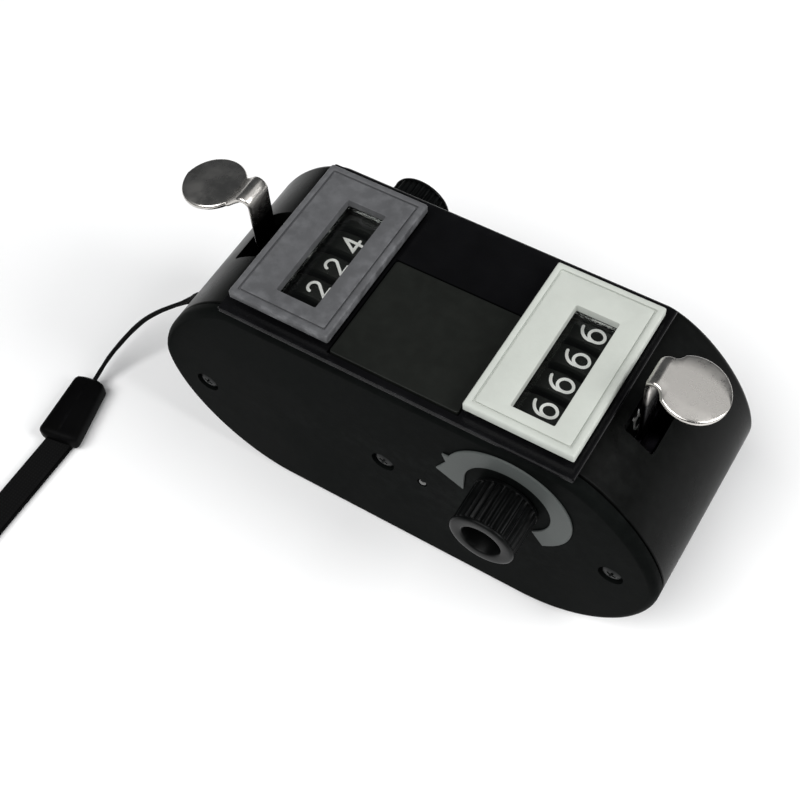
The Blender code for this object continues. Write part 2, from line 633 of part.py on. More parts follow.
def make_feed_pawl(label, counter):
    side, shift = counter["side"], counter["shift"]
    tip = (UNIT_X + 9.6 * cos(radians(17)), AXLE_Z + 9.6 * sin(radians(17)))
    outline = slot_hull(PAWL_PIVOT, tip, 0.95, 0.3)
    hole = circle(*PAWL_PIVOT, STUD_R + RUNNING_FIT, 12)
    pawl = flat(mirrored(outline, side), [mirrored(hole, side)], shift + 10.85, shift + 11.75)
    place(f"feed_pawl_{label}", pawl, "dark_steel",
          origin=(side * PAWL_PIVOT[0], shift + 11.3, PAWL_PIVOT[1]))


def make_stop_pawl(label, counter):
    side, shift = counter["side"], counter["shift"]
    tip = (UNIT_X + 9.6 * cos(radians(203)), AXLE_Z + 9.6 * sin(radians(203)))
    outline = slot_hull(STOP_PIVOT, tip, 1.3, 0.3)
    hole = circle(*STOP_PIVOT, STOP_PIN_R + RUNNING_FIT, 12)
    pawl = flat(mirrored(outline, side), [mirrored(hole, side)], shift + 10.85, shift + 11.75)
    place(f"stop_pawl_{label}", pawl, "dark_steel",
          origin=(side * STOP_PIVOT[0], shift + 11.3, STOP_PIVOT[1]))
    pin = rod(side * STOP_PIVOT[0], STOP_PIVOT[1], shift + 10.6, shift + 13.3, STOP_PIN_R, 12)
    place(f"stop_pin_{label}", pin, "dark_steel")


def tube(name, points, radius, slot, resolution=1):
    """A round cord along a list of points."""
    curve = bpy.data.curves.new(name, "CURVE")
    curve.dimensions = "3D"
    curve.bevel_depth = radius * MM
    curve.bevel_resolution = resolution
    curve.use_fill_caps = True
    spline = curve.splines.new("POLY")
    spline.points.add(len(points) - 1)
    for point, co in zip(spline.points, points):
        point.co = (*(Vector(co) * MM), 1.0)
    obj = bpy.data.objects.new(name, curve)
    curve.materials.append(material(slot))
    PARTS.objects.link(obj)
    return obj


def make_spring(label, counter):
    """The lever's return spring, a coil between the chassis and the lever's cross-bar."""
    x = counter["side"] * SPRING_X
    turns, per_turn, radius, wire = 7, 8, 1.6, 0.25
    count = turns * per_turn
    low, high = SPRING_BOTTOM + wire, SPRING_TOP - wire
    points = [(x + radius * cos(2 * pi * i / per_turn), radius * sin(2 * pi * i / per_turn),
               low + (high - low) * i / count) for i in range(count + 1)]
    tube(f"return_spring_{label}", points, wire, "dark_steel")


def make_counter(label, counter, bezel_slot):
    centres = wheel_centres(counter["shift"])
    make_window(label, counter, bezel_slot)
    make_chassis(label, counter)
    for name, centre in centres.items():
        make_number_wheel(label, counter, name, centre)
    make_ratchet(label, counter, centres["units"])
    make_pinions(label, counter, centres)
    make_reset(label, counter)
    make_lever(label, counter)
    make_feed_pawl(label, counter)
    make_stop_pawl(label, counter)
    make_spring(label, counter)


# ---------------------------------------------------------------- wrist strap

def smooth_route(points, per_span=5):
    """Points on a smooth curve through the given ones."""
    ends = [Vector(points[0]) * 2 - Vector(points[1])] + [Vector(p) for p in points]
    ends.append(Vector(points[-1]) * 2 - Vector(points[-2]))
    route = []
    for a, b, c, d in zip(ends, ends[1:], ends[2:], ends[3:]):
        for i in range(per_span):
            t = i / per_span
            route.append(0.5 * ((2 * b) + (c - a) * t + (2 * a - 5 * b + 4 * c - d) * t ** 2
                                + (3 * b - a - 3 * c + d) * t ** 3))
    route.append(ends[-2])
    return route


def make_cord():
    """The thin cord: out of the connector, through the lug's eye and back again."""
    x, y, z = LUG
    near_x, near_y = CONNECTOR["near"]
    mid = CONNECTOR["thick"] / 2 + 0.4
    out = [(near_x + 0.25, near_y + 0.2, mid + 0.5), (-70.5, -15.6, 6.1), (-66.9, -8.1, 10.3),
           (-59.4, -3.2, 15.5), (x - 3.9, y - 0.6, z + 2.3)]
    back = [(x - 3.9, y - 0.5, z - 2.4), (-59.8, -2.8, 14.3), (-67.6, -7.7, 9.5), (-71.1, -15.3, 5.3),
            (near_x - 0.25, near_y + 0.5, mid - 0.5)]
    over = [(x - 1.6, y - 0.2, z + 2.2), (x - 0.1, y, z + 0.2), (x - 1.6, y - 0.1, z - 2.2)]
    tube("strap_cord", smooth_route(out + over + back, 4), CORD_R, "cord_black", resolution=2)


def make_connector():
    """The moulded joint between the cord and the ribbon, wider at the ribbon's end."""
    near, far = Vector(CONNECTOR["near"]), Vector(CONNECTOR["far"])
    along = (far - near).normalized()
    across = Vector((-along.y, along.x))
    near_half, far_half = (width / 2 for width in CONNECTOR["widths"])
    chamfer = 1.3
    outline = [near + across * (near_half - 0.6), near + across * near_half + along * 0.6,
               far + across * far_half - along * chamfer, far + across * (far_half - chamfer),
               far - across * (far_half - chamfer), far - across * far_half - along * chamfer,
               near - across * near_half + along * 0.6, near - across * (near_half - 0.6)]
    bm = bmesh.new()
    bm.from_mesh(flat([tuple(p) for p in outline], [], 0.4, 0.4 + CONNECTOR["thick"], axis="Z"))
    level = [e for e in bm.edges
             if abs(e.verts[0].co.z - e.verts[1].co.z) < 0.01 and len(e.link_faces) == 2
             and abs(e.link_faces[0].normal.dot(e.link_faces[1].normal)) < 0.5]
    bmesh.ops.bevel(bm, geom=level, offset=0.6, segments=2, profile=0.5, affect="EDGES")
    place("strap_connector", mesh_from(bm), "connector_black")


def make_ribbon():
    """The ribbon loop: out along the ground, over at its far end, and back on top of itself."""
    x, start = CONNECTOR["far"]
    start -= 3 * GAP
    low, gap, loop = 0.3, 0.5, 2.6
    top = low + 2 * RIBBON_THICK + gap
    mid = low + loop + RIBBON_THICK
    outer = [(start, low), (RIBBON_END_Y + 16, low)]
    outer += arc(RIBBON_END_Y, mid, loop + RIBBON_THICK, -100, -260, 12)
    outer += [(RIBBON_END_Y + 16, top), (start, top)]
    inner = [(start, top - RIBBON_THICK), (RIBBON_END_Y + 16, top - RIBBON_THICK)]
    inner += arc(RIBBON_END_Y, mid, loop, -260, -100, 12)
    inner += [(RIBBON_END_Y + 16, low + RIBBON_THICK), (start, low + RIBBON_THICK)]
    bm = bmesh.new()
    bm.from_mesh(flat(outer + inner, [], -RIBBON_WIDTH / 2, RIBBON_WIDTH / 2, axis="Z"))
    for vert in bm.verts:
        along, up, across = vert.co
        vert.co = (x - across, along, up)
    place("strap_ribbon", mesh_from(bm), "ribbon_black")


clear_scene()
PARTS = collection("dual_tally_counter")
CUTTERS = collection("cutters")
make_shell()
make_front_cover()
for screw_name, (screw_x, screw_z) in SCREWS.items():
    make_screw(f"cover_screw_{screw_name}", screw_x, screw_z)
make_cover_pin()
make_deck()
make_arrows()
make_counter("right", COUNTERS["right"], "bezel_white")
make_counter("left", COUNTERS["left"], "bezel_grey")
make_cord()
make_connector()
make_ribbon()
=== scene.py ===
from math import acos, atan2, cos, pi, radians, sin, sqrt

import bmesh
import bpy
from mathutils import Matrix, Vector


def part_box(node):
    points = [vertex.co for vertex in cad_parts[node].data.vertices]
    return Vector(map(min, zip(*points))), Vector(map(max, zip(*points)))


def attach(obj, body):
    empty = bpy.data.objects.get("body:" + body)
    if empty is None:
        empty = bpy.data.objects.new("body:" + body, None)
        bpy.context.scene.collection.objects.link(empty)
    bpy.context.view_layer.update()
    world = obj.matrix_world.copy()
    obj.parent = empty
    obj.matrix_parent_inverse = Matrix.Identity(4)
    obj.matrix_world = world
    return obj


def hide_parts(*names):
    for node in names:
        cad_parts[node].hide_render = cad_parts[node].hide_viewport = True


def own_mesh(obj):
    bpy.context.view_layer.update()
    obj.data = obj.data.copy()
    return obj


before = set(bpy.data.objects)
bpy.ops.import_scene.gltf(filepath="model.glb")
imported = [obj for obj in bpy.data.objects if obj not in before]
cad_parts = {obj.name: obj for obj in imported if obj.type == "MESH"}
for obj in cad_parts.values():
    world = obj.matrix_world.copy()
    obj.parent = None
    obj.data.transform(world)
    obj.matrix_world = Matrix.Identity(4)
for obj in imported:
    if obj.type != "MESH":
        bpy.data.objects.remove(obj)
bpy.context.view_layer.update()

MM = 0.001
scene = bpy.context.scene

# ---------------- camera, in millimetres and degrees
CAMERA_AZIMUTH = 36.585
CAMERA_ELEVATION = 57.425
CAMERA_ROLL = -5.977
CAMERA_DISTANCE = 250.61
CAMERA_TARGET = (-8.314, -4.37, 20.0)
FOCAL_PIXELS = 1363.6
FRAME_PIXELS = 800
SENSOR = 36.0


def make_camera():
    az, el, roll = radians(CAMERA_AZIMUTH), radians(CAMERA_ELEVATION), radians(CAMERA_ROLL)
    back = Vector((sin(az) * cos(el), -cos(az) * cos(el), sin(el)))
    right = Vector((cos(az), sin(az), 0.0))
    up = back.cross(right)
    turned_right = cos(roll) * right + sin(roll) * up
    turned_up = -sin(roll) * right + cos(roll) * up
    rotation = Matrix((turned_right, turned_up, back)).transposed()
    data = bpy.data.cameras.new("camera")
    data.sensor_width = SENSOR
    data.lens = FOCAL_PIXELS / FRAME_PIXELS * SENSOR
    data.clip_start = 0.01
    camera = bpy.data.objects.new("camera", data)
    place = (Vector(CAMERA_TARGET) + back * CAMERA_DISTANCE) * MM
    camera.matrix_world = Matrix.Translation(place) @ rotation.to_4x4()
    scene.collection.objects.link(camera)
    scene.camera = camera


make_camera()


# ---------------- materials
class Nodes:
    """A small helper to wire up one material's nodes."""

    def __init__(self, name):
        self.material = bpy.data.materials.new(name)
        self.material.use_nodes = True
        self.tree = self.material.node_tree
        self.shader = self.tree.nodes["Principled BSDF"]
        self.place = self.tree.nodes.new("ShaderNodeTexCoord").outputs["Object"]

    def node(self, kind, **values):
        made = self.tree.nodes.new(kind)
        for key, value in values.items():
            if hasattr(made, key):
                setattr(made, key, value)
            else:
                made.inputs[key.replace("_", " ").title()].default_value = value
        return made

    def link(self, source, target):
        self.tree.links.new(source, target)

    def noise(self, scale, detail=3.0, roughness=0.55, stretch=(1, 1, 1), turn=(0, 0, 0)):
        mapping = self.node("ShaderNodeMapping")
        mapping.inputs["Scale"].default_value = stretch
        mapping.inputs["Rotation"].default_value = turn
        self.link(self.place, mapping.inputs["Vector"])
        noise = self.node("ShaderNodeTexNoise", scale=scale, detail=detail, roughness=roughness)
        self.link(mapping.outputs["Vector"], noise.inputs["Vector"])
        return noise.outputs["Fac"]

    def ramp(self, source, stops):
        """A colour ramp, given as (position, colour) stops."""
        ramp = self.tree.nodes.new("ShaderNodeValToRGB")
        elements = ramp.color_ramp.elements
        while len(elements) < len(stops):
            elements.new(0.5)
        for element, (position, color) in zip(elements, stops):
            element.position = position
            element.color = (*color, 1.0)
        self.link(source, ramp.inputs["Fac"])
        return ramp.outputs["Color"]

    def span(self, source, low, high, start=0.3, end=0.7):
        """Maps a source that runs from start to end onto low to high."""
        made = self.tree.nodes.new("ShaderNodeMapRange")
        for key, value in (("From Min", start), ("From Max", end), ("To Min", low), ("To Max", high)):
            made.inputs[key].default_value = value
        self.link(source, made.inputs["Value"])
        return made.outputs["Result"]

    def math(self, operation, first, second):
        made = self.tree.nodes.new("ShaderNodeMath")
        made.operation = operation
        for socket, value in zip(made.inputs, (first, second)):
            if isinstance(value, (int, float)):
                socket.default_value = value
            else:
                self.link(value, socket)
        return made.outputs["Value"]

    def mix(self, factor, first, second):
        made = self.tree.nodes.new("ShaderNodeMix")
        made.data_type = "RGBA"
        for socket, value in ((made.inputs[0], factor), (made.inputs[6], first), (made.inputs[7], second)):
            if isinstance(value, tuple):
                socket.default_value = (*value, 1.0)
            elif isinstance(value, (int, float)):
                socket.default_value = value
            else:
                self.link(value, socket)
        return made.outputs[2]

    def bump(self, height, strength, depth):
        made = self.tree.nodes.new("ShaderNodeBump")
        made.inputs["Strength"].default_value = strength
        made.inputs["Distance"].default_value = depth
        self.link(height, made.inputs["Height"])
        self.link(made.outputs["Normal"], self.shader.inputs["Normal"])

    def edges(self):
        """1 on worn convex edges, 0 elsewhere."""
        geometry = self.tree.nodes.new("ShaderNodeNewGeometry")
        return self.span(geometry.outputs["Pointiness"], 0.0, 1.0, 0.51, 0.56)

    def set(self, **values):
        for key, value in values.items():
            socket = self.shader.inputs[key.replace("_", " ")]
            if isinstance(value, (int, float)):
                socket.default_value = value
            elif isinstance(value, tuple):
                socket.default_value = (*value, 1.0)
            else:
                self.link(value, socket)


def shade(color, factor):
    return tuple(c * factor for c in color)


def moulded(name, color, low_rough, high_rough, specular, grain=0.0, wear=0.0, scratches=0.0, spread=0.25):
    """Moulded plastic: cloudy colour, uneven gloss, fine scratches, rubbed edges and a moulded grain."""
    made = Nodes(name)
    cloud = made.noise(90, 4)
    fine = made.noise(1400, 3)
    base = made.ramp(cloud, [(0.3, shade(color, 1 - spread)), (0.7, shade(color, 1 + spread))])
    if wear:
        worn = made.math("MULTIPLY", made.edges(), made.span(made.noise(500, 4), 0.0, wear, 0.42, 0.66))
        base = made.mix(worn, base, shade(color, 3.0) if max(color) < 0.1 else shade(color, 1.15))
    rough = made.span(cloud, low_rough, high_rough)
    if scratches:
        lines = made.noise(160, 6, 0.7, (1.0, 24.0, 1.0), (0.0, 0.0, 0.5))
        marks = made.span(lines, 0.0, scratches, 0.6, 0.68)
        rough = made.math("ADD", rough, marks)
    made.set(Base_Color=base, Roughness=rough, Specular_IOR_Level=specular)
    made.bump(fine, 0.25 + grain, 0.00001 + 0.00003 * grain)
    return made.material


def metal(name, color, low_rough, high_rough, speckle=0.0, brushed=(1, 1, 1), wear=0.25, painted_dark_reflection_below=0.0):
    """Plated or plain metal: speckled reflections, fine brushing, dirt, and a painted dark reflection on
    the foot if asked.
    """
    made = Nodes(name)
    cloud = made.noise(260, 5, 0.65)
    grain = made.noise(2600, 4, 0.6, brushed)
    spots = made.noise(1700, 3, 0.7)
    base = made.ramp(cloud, [(0.32, shade(color, 1 - wear)), (0.55, color), (0.75, shade(color, 1.05))])
    rough = made.span(cloud, low_rough, high_rough, 0.35, 0.65)
    # Below the given height the colour turns near black: a painted dark reflection of the black body on the
    # stem.
    if painted_dark_reflection_below:
        split = made.tree.nodes.new("ShaderNodeSeparateXYZ")
        made.link(made.place, split.inputs["Vector"])
        height = made.span(split.outputs["Z"], 0.0, 1.0, painted_dark_reflection_below - 0.0035, painted_dark_reflection_below)
        base = made.mix(height, (0.007, 0.0065, 0.008), base)
    made.set(Base_Color=base, Roughness=rough, Metallic=1.0)
    made.bump(made.math("ADD", made.math("MULTIPLY", grain, 0.5), made.math("MULTIPLY", spots, speckle)),
              0.35, 0.00002)
    return made.material


def window_clear():
    """Clear moulded plastic: it lets what is behind it through, and shines at grazing angles."""
    made = Nodes("window_clear")
    tree = made.tree
    gloss = tree.nodes.new("ShaderNodeBsdfGlossy")
    gloss.inputs["Color"].default_value = (0.4, 0.41, 0.4, 1.0)
    gloss.inputs["Roughness"].default_value = 0.12
    clear = tree.nodes.new("ShaderNodeBsdfTransparent")
    tint = made.ramp(made.noise(300, 3), [(0.35, (0.97, 0.975, 0.97)), (0.7, (0.995, 1.0, 0.995))])
    made.link(tint, clear.inputs["Color"])
    fresnel = tree.nodes.new("ShaderNodeFresnel")
    fresnel.inputs["IOR"].default_value = 1.45
    mixed = tree.nodes.new("ShaderNodeMixShader")
    made.link(fresnel.outputs["Fac"], mixed.inputs["Fac"])
    made.link(clear.outputs["BSDF"], mixed.inputs[1])
    made.link(gloss.outputs["BSDF"], mixed.inputs[2])
    made.link(mixed.outputs["Shader"], tree.nodes["Material Output"].inputs["Surface"])
    tree.nodes.remove(made.shader)
    return made.material


def woven(name, color, pitch, across, along):
    """Woven cord or ribbon: crossing threads with a soft sheen."""
    made = Nodes(name)
    waves = []
    for direction in (across, along):
        wave = made.tree.nodes.new("ShaderNodeTexWave")
        wave.bands_direction = direction
        wave.inputs["Scale"].default_value = 0.314 / pitch
        wave.inputs["Distortion"].default_value = 0.6
        wave.inputs["Detail"].default_value = 2.0
        made.link(made.place, wave.inputs["Vector"])
        waves.append(wave.outputs["Fac"])
    weave = made.math("MULTIPLY", waves[0], waves[1])
    cloud = made.noise(220, 4)
    threads = made.ramp(weave, [(0.0, shade(color, 0.45)), (0.6, color), (1.0, shade(color, 2.0))])
    base = made.mix(made.span(cloud, 0.0, 0.5), threads, shade(color, 1.6))
    made.set(Base_Color=base, Roughness=made.span(cloud, 0.7, 0.95), Specular_IOR_Level=0.08,
             Sheen_Weight=0.05, Sheen_Roughness=0.5)
    made.bump(weave, 0.8, 0.00008)
    return made.material


BLACK = (0.0036, 0.0039, 0.0037)
MATERIALS = {
    "body": moulded("moulded_gloss_black", BLACK, 0.24, 0.36, 0.036, wear=0.4, scratches=0.08),
    "cover": moulded("moulded_satin_black", (0.0036, 0.0042, 0.004), 0.36, 0.5, 0.006, grain=0.4,
                     wear=0.4),
    "deck": moulded("deck_black", (0.0032, 0.0032, 0.0036), 0.16, 0.26, 0.14, wear=0.6, scratches=0.1),
    "plate": moulded("plate_satin_black", (0.0078, 0.0087, 0.0075), 0.4, 0.52, 0.16, grain=0.5,
                     wear=0.3, spread=0.12),
    "bezel_left": moulded("bezel_grey", (0.085, 0.086, 0.09), 0.36, 0.52, 0.35, grain=0.6,
                          wear=0.5, spread=0.08),
    "bezel_right": moulded("bezel_white", (0.49, 0.512, 0.473), 0.38, 0.55, 0.35, grain=0.6,
                           wear=0.5, spread=0.04),
    "mask": moulded("neck_black", (0.004, 0.004, 0.0042), 0.35, 0.5, 0.25, grain=0.3),
    "knob": moulded("knob_black", (0.0024, 0.0026, 0.0026), 0.26, 0.4, 0.07, grain=0.3, wear=0.9),
    "wheel": moulded("wheel_black", (0.0105, 0.0115, 0.01), 0.5, 0.65, 0.2, grain=0.7),
    "numeral": moulded("numeral_white", (0.98, 0.98, 0.95), 0.5, 0.65, 0.25, grain=0.5, spread=0.05),
    # Near-black numerals: painted shade for the left units wheel, which sits in shadow.
    "numeral_painted_shade": moulded("numeral_painted_shade", (0.03, 0.03, 0.03), 0.5, 0.65, 0.2, grain=0.5),
    "arrow": moulded("arrow_grey", (0.078, 0.086, 0.083), 0.4, 0.55, 0.12, grain=0.4, wear=0.0,
                     spread=0.05),
    "connector": moulded("connector_black", (0.0018, 0.0018, 0.0019), 0.42, 0.6, 0.03, grain=0.6,
                         wear=0.4),
    # The lever's stem below 54.5 mm carries a painted dark reflection.
    "lever": metal("lever_plated", (0.66, 0.635, 0.6), 0.22, 0.36, speckle=1.1, wear=0.14,
                   painted_dark_reflection_below=0.0545),
    "steel": metal("steel_plain", (0.42, 0.42, 0.43), 0.28, 0.45, speckle=0.4, brushed=(1, 8, 1)),
    "brass": metal("brass_cut", (0.72, 0.52, 0.24), 0.28, 0.42, speckle=0.4),
    "screw": metal("screw_blackened", (0.018, 0.019, 0.019), 0.35, 0.5, speckle=0.5),
    "pin": metal("pin_bright", (0.16, 0.16, 0.155), 0.15, 0.25, speckle=0.3),
    "lens": window_clear(),
    "cord": woven("cord_braid", (0.003, 0.003, 0.0032), 0.00055, "DIAGONAL", "Z"),
    "ribbon": woven("ribbon_weave", (0.002, 0.002, 0.0021), 0.0006, "X", "Y"),
}


# ---------------- mesh helpers, in millimetres
def finish_mesh(bm):
    bmesh.ops.recalc_face_normals(bm, faces=bm.faces[:])
    if bm.calc_volume(signed=True) < 0:
        bmesh.ops.reverse_faces(bm, faces=bm.faces[:])
    mesh = bpy.data.meshes.new("piece")
    bm.to_mesh(mesh)
    bm.free()
    return mesh


def add(name, mesh, material, body, replaced=(), angle=32.0):
    """Link a mesh made in millimetres as one piece that rides on a body."""
    mesh.transform(Matrix.Scale(MM, 4))
    mesh.shade_smooth()
    mesh.set_sharp_from_angle(angle=radians(angle))
    piece = bpy.data.objects.new(name, mesh)
    piece.data.materials.append(MATERIALS[material])
    scene.collection.objects.link(piece)
    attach(piece, body)
    if replaced:
        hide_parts(*([replaced] if isinstance(replaced, str) else replaced))
    return piece


def weighted(piece):
    """Clean shading on the flat faces of a piece that was cut."""
    modifier = piece.modifiers.new("weighted", "WEIGHTED_NORMAL")
    modifier.keep_sharp = True
    modifier.weight = 80


def box_of(node):
    low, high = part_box(node)
    return low / MM, high / MM


def box(low, high, bevel=0.0, segments=2):
    bm = bmesh.new()
    bmesh.ops.create_cube(bm, size=1.0)
    bmesh.ops.scale(bm, vec=Vector(high) - Vector(low), verts=bm.verts[:])
    bmesh.ops.translate(bm, vec=(Vector(high) + Vector(low)) / 2, verts=bm.verts[:])
    if bevel:
        bmesh.ops.bevel(bm, geom=bm.edges[:], offset=bevel, segments=segments, profile=0.5, affect="EDGES")
    return finish_mesh(bm)


def rod(x, z, y0, y1, radius, steps=32):
    bm = bmesh.new()
    bmesh.ops.create_cone(bm, cap_ends=True, segments=steps, radius1=radius, radius2=radius, depth=y1 - y0,
                          matrix=Matrix.Rotation(-pi / 2, 4, "X"))
    bmesh.ops.translate(bm, vec=(x, (y0 + y1) / 2, z), verts=bm.verts[:])
    return finish_mesh(bm)


def carve(mesh, cutters):
    """A mesh with others cut from it."""
    base = bpy.data.objects.new("base", mesh)
    scene.collection.objects.link(base)
    tools = []
    for cut in cutters:
        tool = bpy.data.objects.new("tool", cut)
        scene.collection.objects.link(tool)
        tools.append(tool)
        modifier = base.modifiers.new("cut", "BOOLEAN")
        modifier.operation = "DIFFERENCE"
        modifier.solver = "EXACT"
        modifier.object = tool
    result = bpy.data.meshes.new_from_object(base.evaluated_get(bpy.context.evaluated_depsgraph_get()))
    for obj in [base] + tools:
        bpy.data.objects.remove(obj)
    return result


def loft(rings, close_start=True, close_end=True):
    """A skin over closed rings of the same number of points."""
    bm = bmesh.new()
    loops = [[bm.verts.new(p) for p in ring] for ring in rings]
    count = len(loops[0])
    for near, far in zip(loops, loops[1:]):
        for i in range(count):
            j = (i + 1) % count
            bm.faces.new((near[i], near[j], far[j], far[i]))
    if close_start:
        bm.faces.new(loops[0])
    if close_end:
        bm.faces.new(loops[-1])
    return finish_mesh(bm)


def turned(profile, x, z, steps=72, radius=lambda angle, r, y: r):
    """A closed (radius, y) cross-section turned about the Y axis through x, z."""
    rings = []
    for i in range(steps):
        angle = 2 * pi * i / steps
        rings.append([(x + radius(angle, r, y) * cos(angle), y, z + radius(angle, r, y) * sin(angle))
                      for r, y in profile])
    bm = bmesh.new()
    loops = [[bm.verts.new(p) for p in ring] for ring in rings]
    for i in range(steps):
        near, far = loops[i], loops[(i + 1) % steps]
        for a in range(len(profile)):
            b = (a + 1) % len(profile)
            bm.faces.new((near[a], near[b], far[b], far[a]))
    bmesh.ops.remove_doubles(bm, verts=bm.verts[:], dist=0.002)
    return finish_mesh(bm)


def arc_points(cx, cy, rx, ry, start, end, steps=14):
    return [(cx + rx * cos(radians(start + (end - start) * i / steps)),
             cy + ry * sin(radians(start + (end - start) * i / steps))) for i in range(steps + 1)]


def joined(meshes):
    bm = bmesh.new()
    for mesh in meshes:
        bm.from_mesh(mesh)
        bpy.data.meshes.remove(mesh)
    mesh = bpy.data.meshes.new("piece")
    bm.to_mesh(mesh)
    bm.free()
    return mesh


def smooth_route(points, per_span=5):
    """Points on a smooth curve through the given ones."""
    ends = [Vector(points[0]) * 2 - Vector(points[1])] + [Vector(p) for p in points]
    ends.append(Vector(points[-1]) * 2 - Vector(points[-2]))
    route = []
    for a, b, c, d in zip(ends, ends[1:], ends[2:], ends[3:]):
        for i in range(per_span):
            t = i / per_span
            route.append(0.5 * ((2 * b) + (c - a) * t + (2 * a - 5 * b + 4 * c - d) * t ** 2
                                + (3 * b - a - 3 * c + d) * t ** 3))
    route.append(ends[-2])
    return route


# ---------------- wrist strap
CORD_R = 0.42
LUG = (-51.8, -2.0, 17.2)
CONNECTOR_NEAR = (-71.8, -22.6)
CONNECTOR_FAR = (-69.3, -37.2)
CONNECTOR_WIDTHS = (6.6, 8.8)
CONNECTOR_TOP = 4.6
CONNECTOR_LOW = 0.4


def cord_route():
    x, y, z = LUG
    near_x, near_y = CONNECTOR_NEAR
    mid = (CONNECTOR_TOP + CONNECTOR_LOW) / 2
    out = [(near_x + 0.25, near_y + 0.2, mid + 0.5), (-70.5, -15.6, 6.1), (-66.9, -8.1, 10.3),
           (-59.4, -3.2, 15.5), (x - 3.9, y - 0.6, z + 2.3)]
    back = [(x - 3.9, y - 0.5, z - 2.4), (-59.8, -2.8, 14.3), (-67.6, -7.7, 9.5), (-71.1, -15.3, 5.3),
            (near_x - 0.25, near_y + 0.5, mid - 0.5)]
    over = [(x - 1.6, y - 0.2, z + 2.2), (x - 0.1, y, z + 0.2), (x - 1.6, y - 0.1, z - 2.2)]
    return smooth_route(out + over + back, 8)


def make_cord():
    route = cord_route()
    rings = []
    side = Vector((0, 0, 1))
    for i, point in enumerate(route):
        along = (route[min(i + 1, len(route) - 1)] - route[max(i - 1, 0)]).normalized()
        side = (side - along * side.dot(along)).normalized()
        other = along.cross(side)
        rings.append([point + (side * cos(a) + other * sin(a)) * CORD_R * (1 + 0.05 * cos(4 * a + 1.7 * i))
                      for a in [2 * pi * k / 12 for k in range(12)]])
    cord = add("wrist_cord", loft(rings), "cord", "case", "strap_cord", 70)


def make_ribbon():
    """The doubled ribbon, with a rounded cross-section, its far fold, and ribs across it."""
    low_corner, high_corner = box_of("strap_ribbon")
    x = (low_corner.x + high_corner.x) / 2
    start, fold_start, end = high_corner.y + 3.0, -123.0, -139.0
    thick, low, gap, loop = 0.8, 0.3, 0.5, 2.6
    top = low + 2 * thick + gap
    mid = low + loop + thick
    count = 130
    step = (start - fold_start) / count
    fold = [(fold_start, low + thick / 2)]
    for i in range(13):
        angle = radians(-100 - 160 * i / 12)
        fold.append((end + (loop + thick / 2) * cos(angle), mid + (loop + thick / 2) * sin(angle)))
    fold.append((fold_start, top - thick / 2))
    route = [Vector((x, start - step * i, low + thick / 2)) for i in range(count)]
    route += smooth_route([(x, u, v) for u, v in fold], 6)
    route += [Vector((x, fold_start + step * (i + 1), top - thick / 2)) for i in range(count)]
    half = (high_corner.x - low_corner.x) / 2
    rings = []
    for i, point in enumerate(route):
        along = (route[min(i + 1, len(route) - 1)] - route[max(i - 1, 0)]).normalized()
        normal = Vector((1, 0, 0)).cross(along)
        rib = 0.04 * (i % 2)
        section = [(-half + 0.12, 0.5), (-half + 0.5, 0.86), (-half + 0.9, 0.8), (0, 0.84),
                   (half - 0.9, 0.8), (half - 0.5, 0.86), (half - 0.12, 0.5), (half, 0.0)]
        section += [(u, -v) for u, v in reversed(section[:-1])] + [(-half, 0.0)]
        rings.append([point + Vector((1, 0, 0)) * u + normal * v * (thick / 2 - rib) for u, v in section])
    ribbon = add("wrist_ribbon", loft(rings), "ribbon", "case", "strap_ribbon", 50)
    doubled = [Vector((x, start, (low + top) / 2)), Vector((x, fold_start, (low + top) / 2)),
               Vector((x, end + 2, mid)), Vector((x, end - loop + 0.6, mid))]
    path = [tuple(p * MM) for p in smooth_route(doubled, 20)]


def make_connector():
    """The moulded joint between cord and ribbon: rounded, with a raised rib along its top."""
    near, far = Vector(CONNECTOR_NEAR), Vector(CONNECTOR_FAR)
    along = (far - near).normalized()
    across = Vector((-along.y, along.x))
    length = (far - near).length
    rings = []
    steps = 28
    for i in range(steps + 1):
        t = i / steps
        s = length * t
        half = CONNECTOR_WIDTHS[0] / 2 + (CONNECTOR_WIDTHS[1] - CONNECTOR_WIDTHS[0]) / 2 * t
        end_round = min(1.0, s / 1.3, (length - s) / 1.3)
        shrink = 1.5 * (1 - sqrt(max(0.0, 1 - (1 - end_round) ** 2)))
        half -= shrink
        tall = (CONNECTOR_TOP - CONNECTOR_LOW) / 2 - 0.5 * shrink
        middle = (CONNECTOR_TOP + CONNECTOR_LOW) / 2
        ring = []
        for k in range(24):
            angle = 2 * pi * (k + 0.5) / 24
            u = abs(cos(angle)) ** 0.35 * (1 if cos(angle) > 0 else -1) * half
            v = abs(sin(angle)) ** 0.5 * (1 if sin(angle) > 0 else -1) * tall
            point = near + along * s + across * u
            ring.append((point.x, point.y, middle + v))
        rings.append(ring)
    body = loft(rings)
    rib = box((-0.35, 1.6, CONNECTOR_TOP - 0.25), (0.35, length - 1.6, CONNECTOR_TOP + 0.02), 0.1)
    heading = atan2(along.y, along.x) - pi / 2
    rib.transform(Matrix.Translation((near.x, near.y, 0)) @ Matrix.Rotation(heading, 4, "Z"))
    add("strap_joint", joined([body, rib]), "connector", "case", "strap_connector", 45)


make_connector()
make_cord()
make_ribbon()

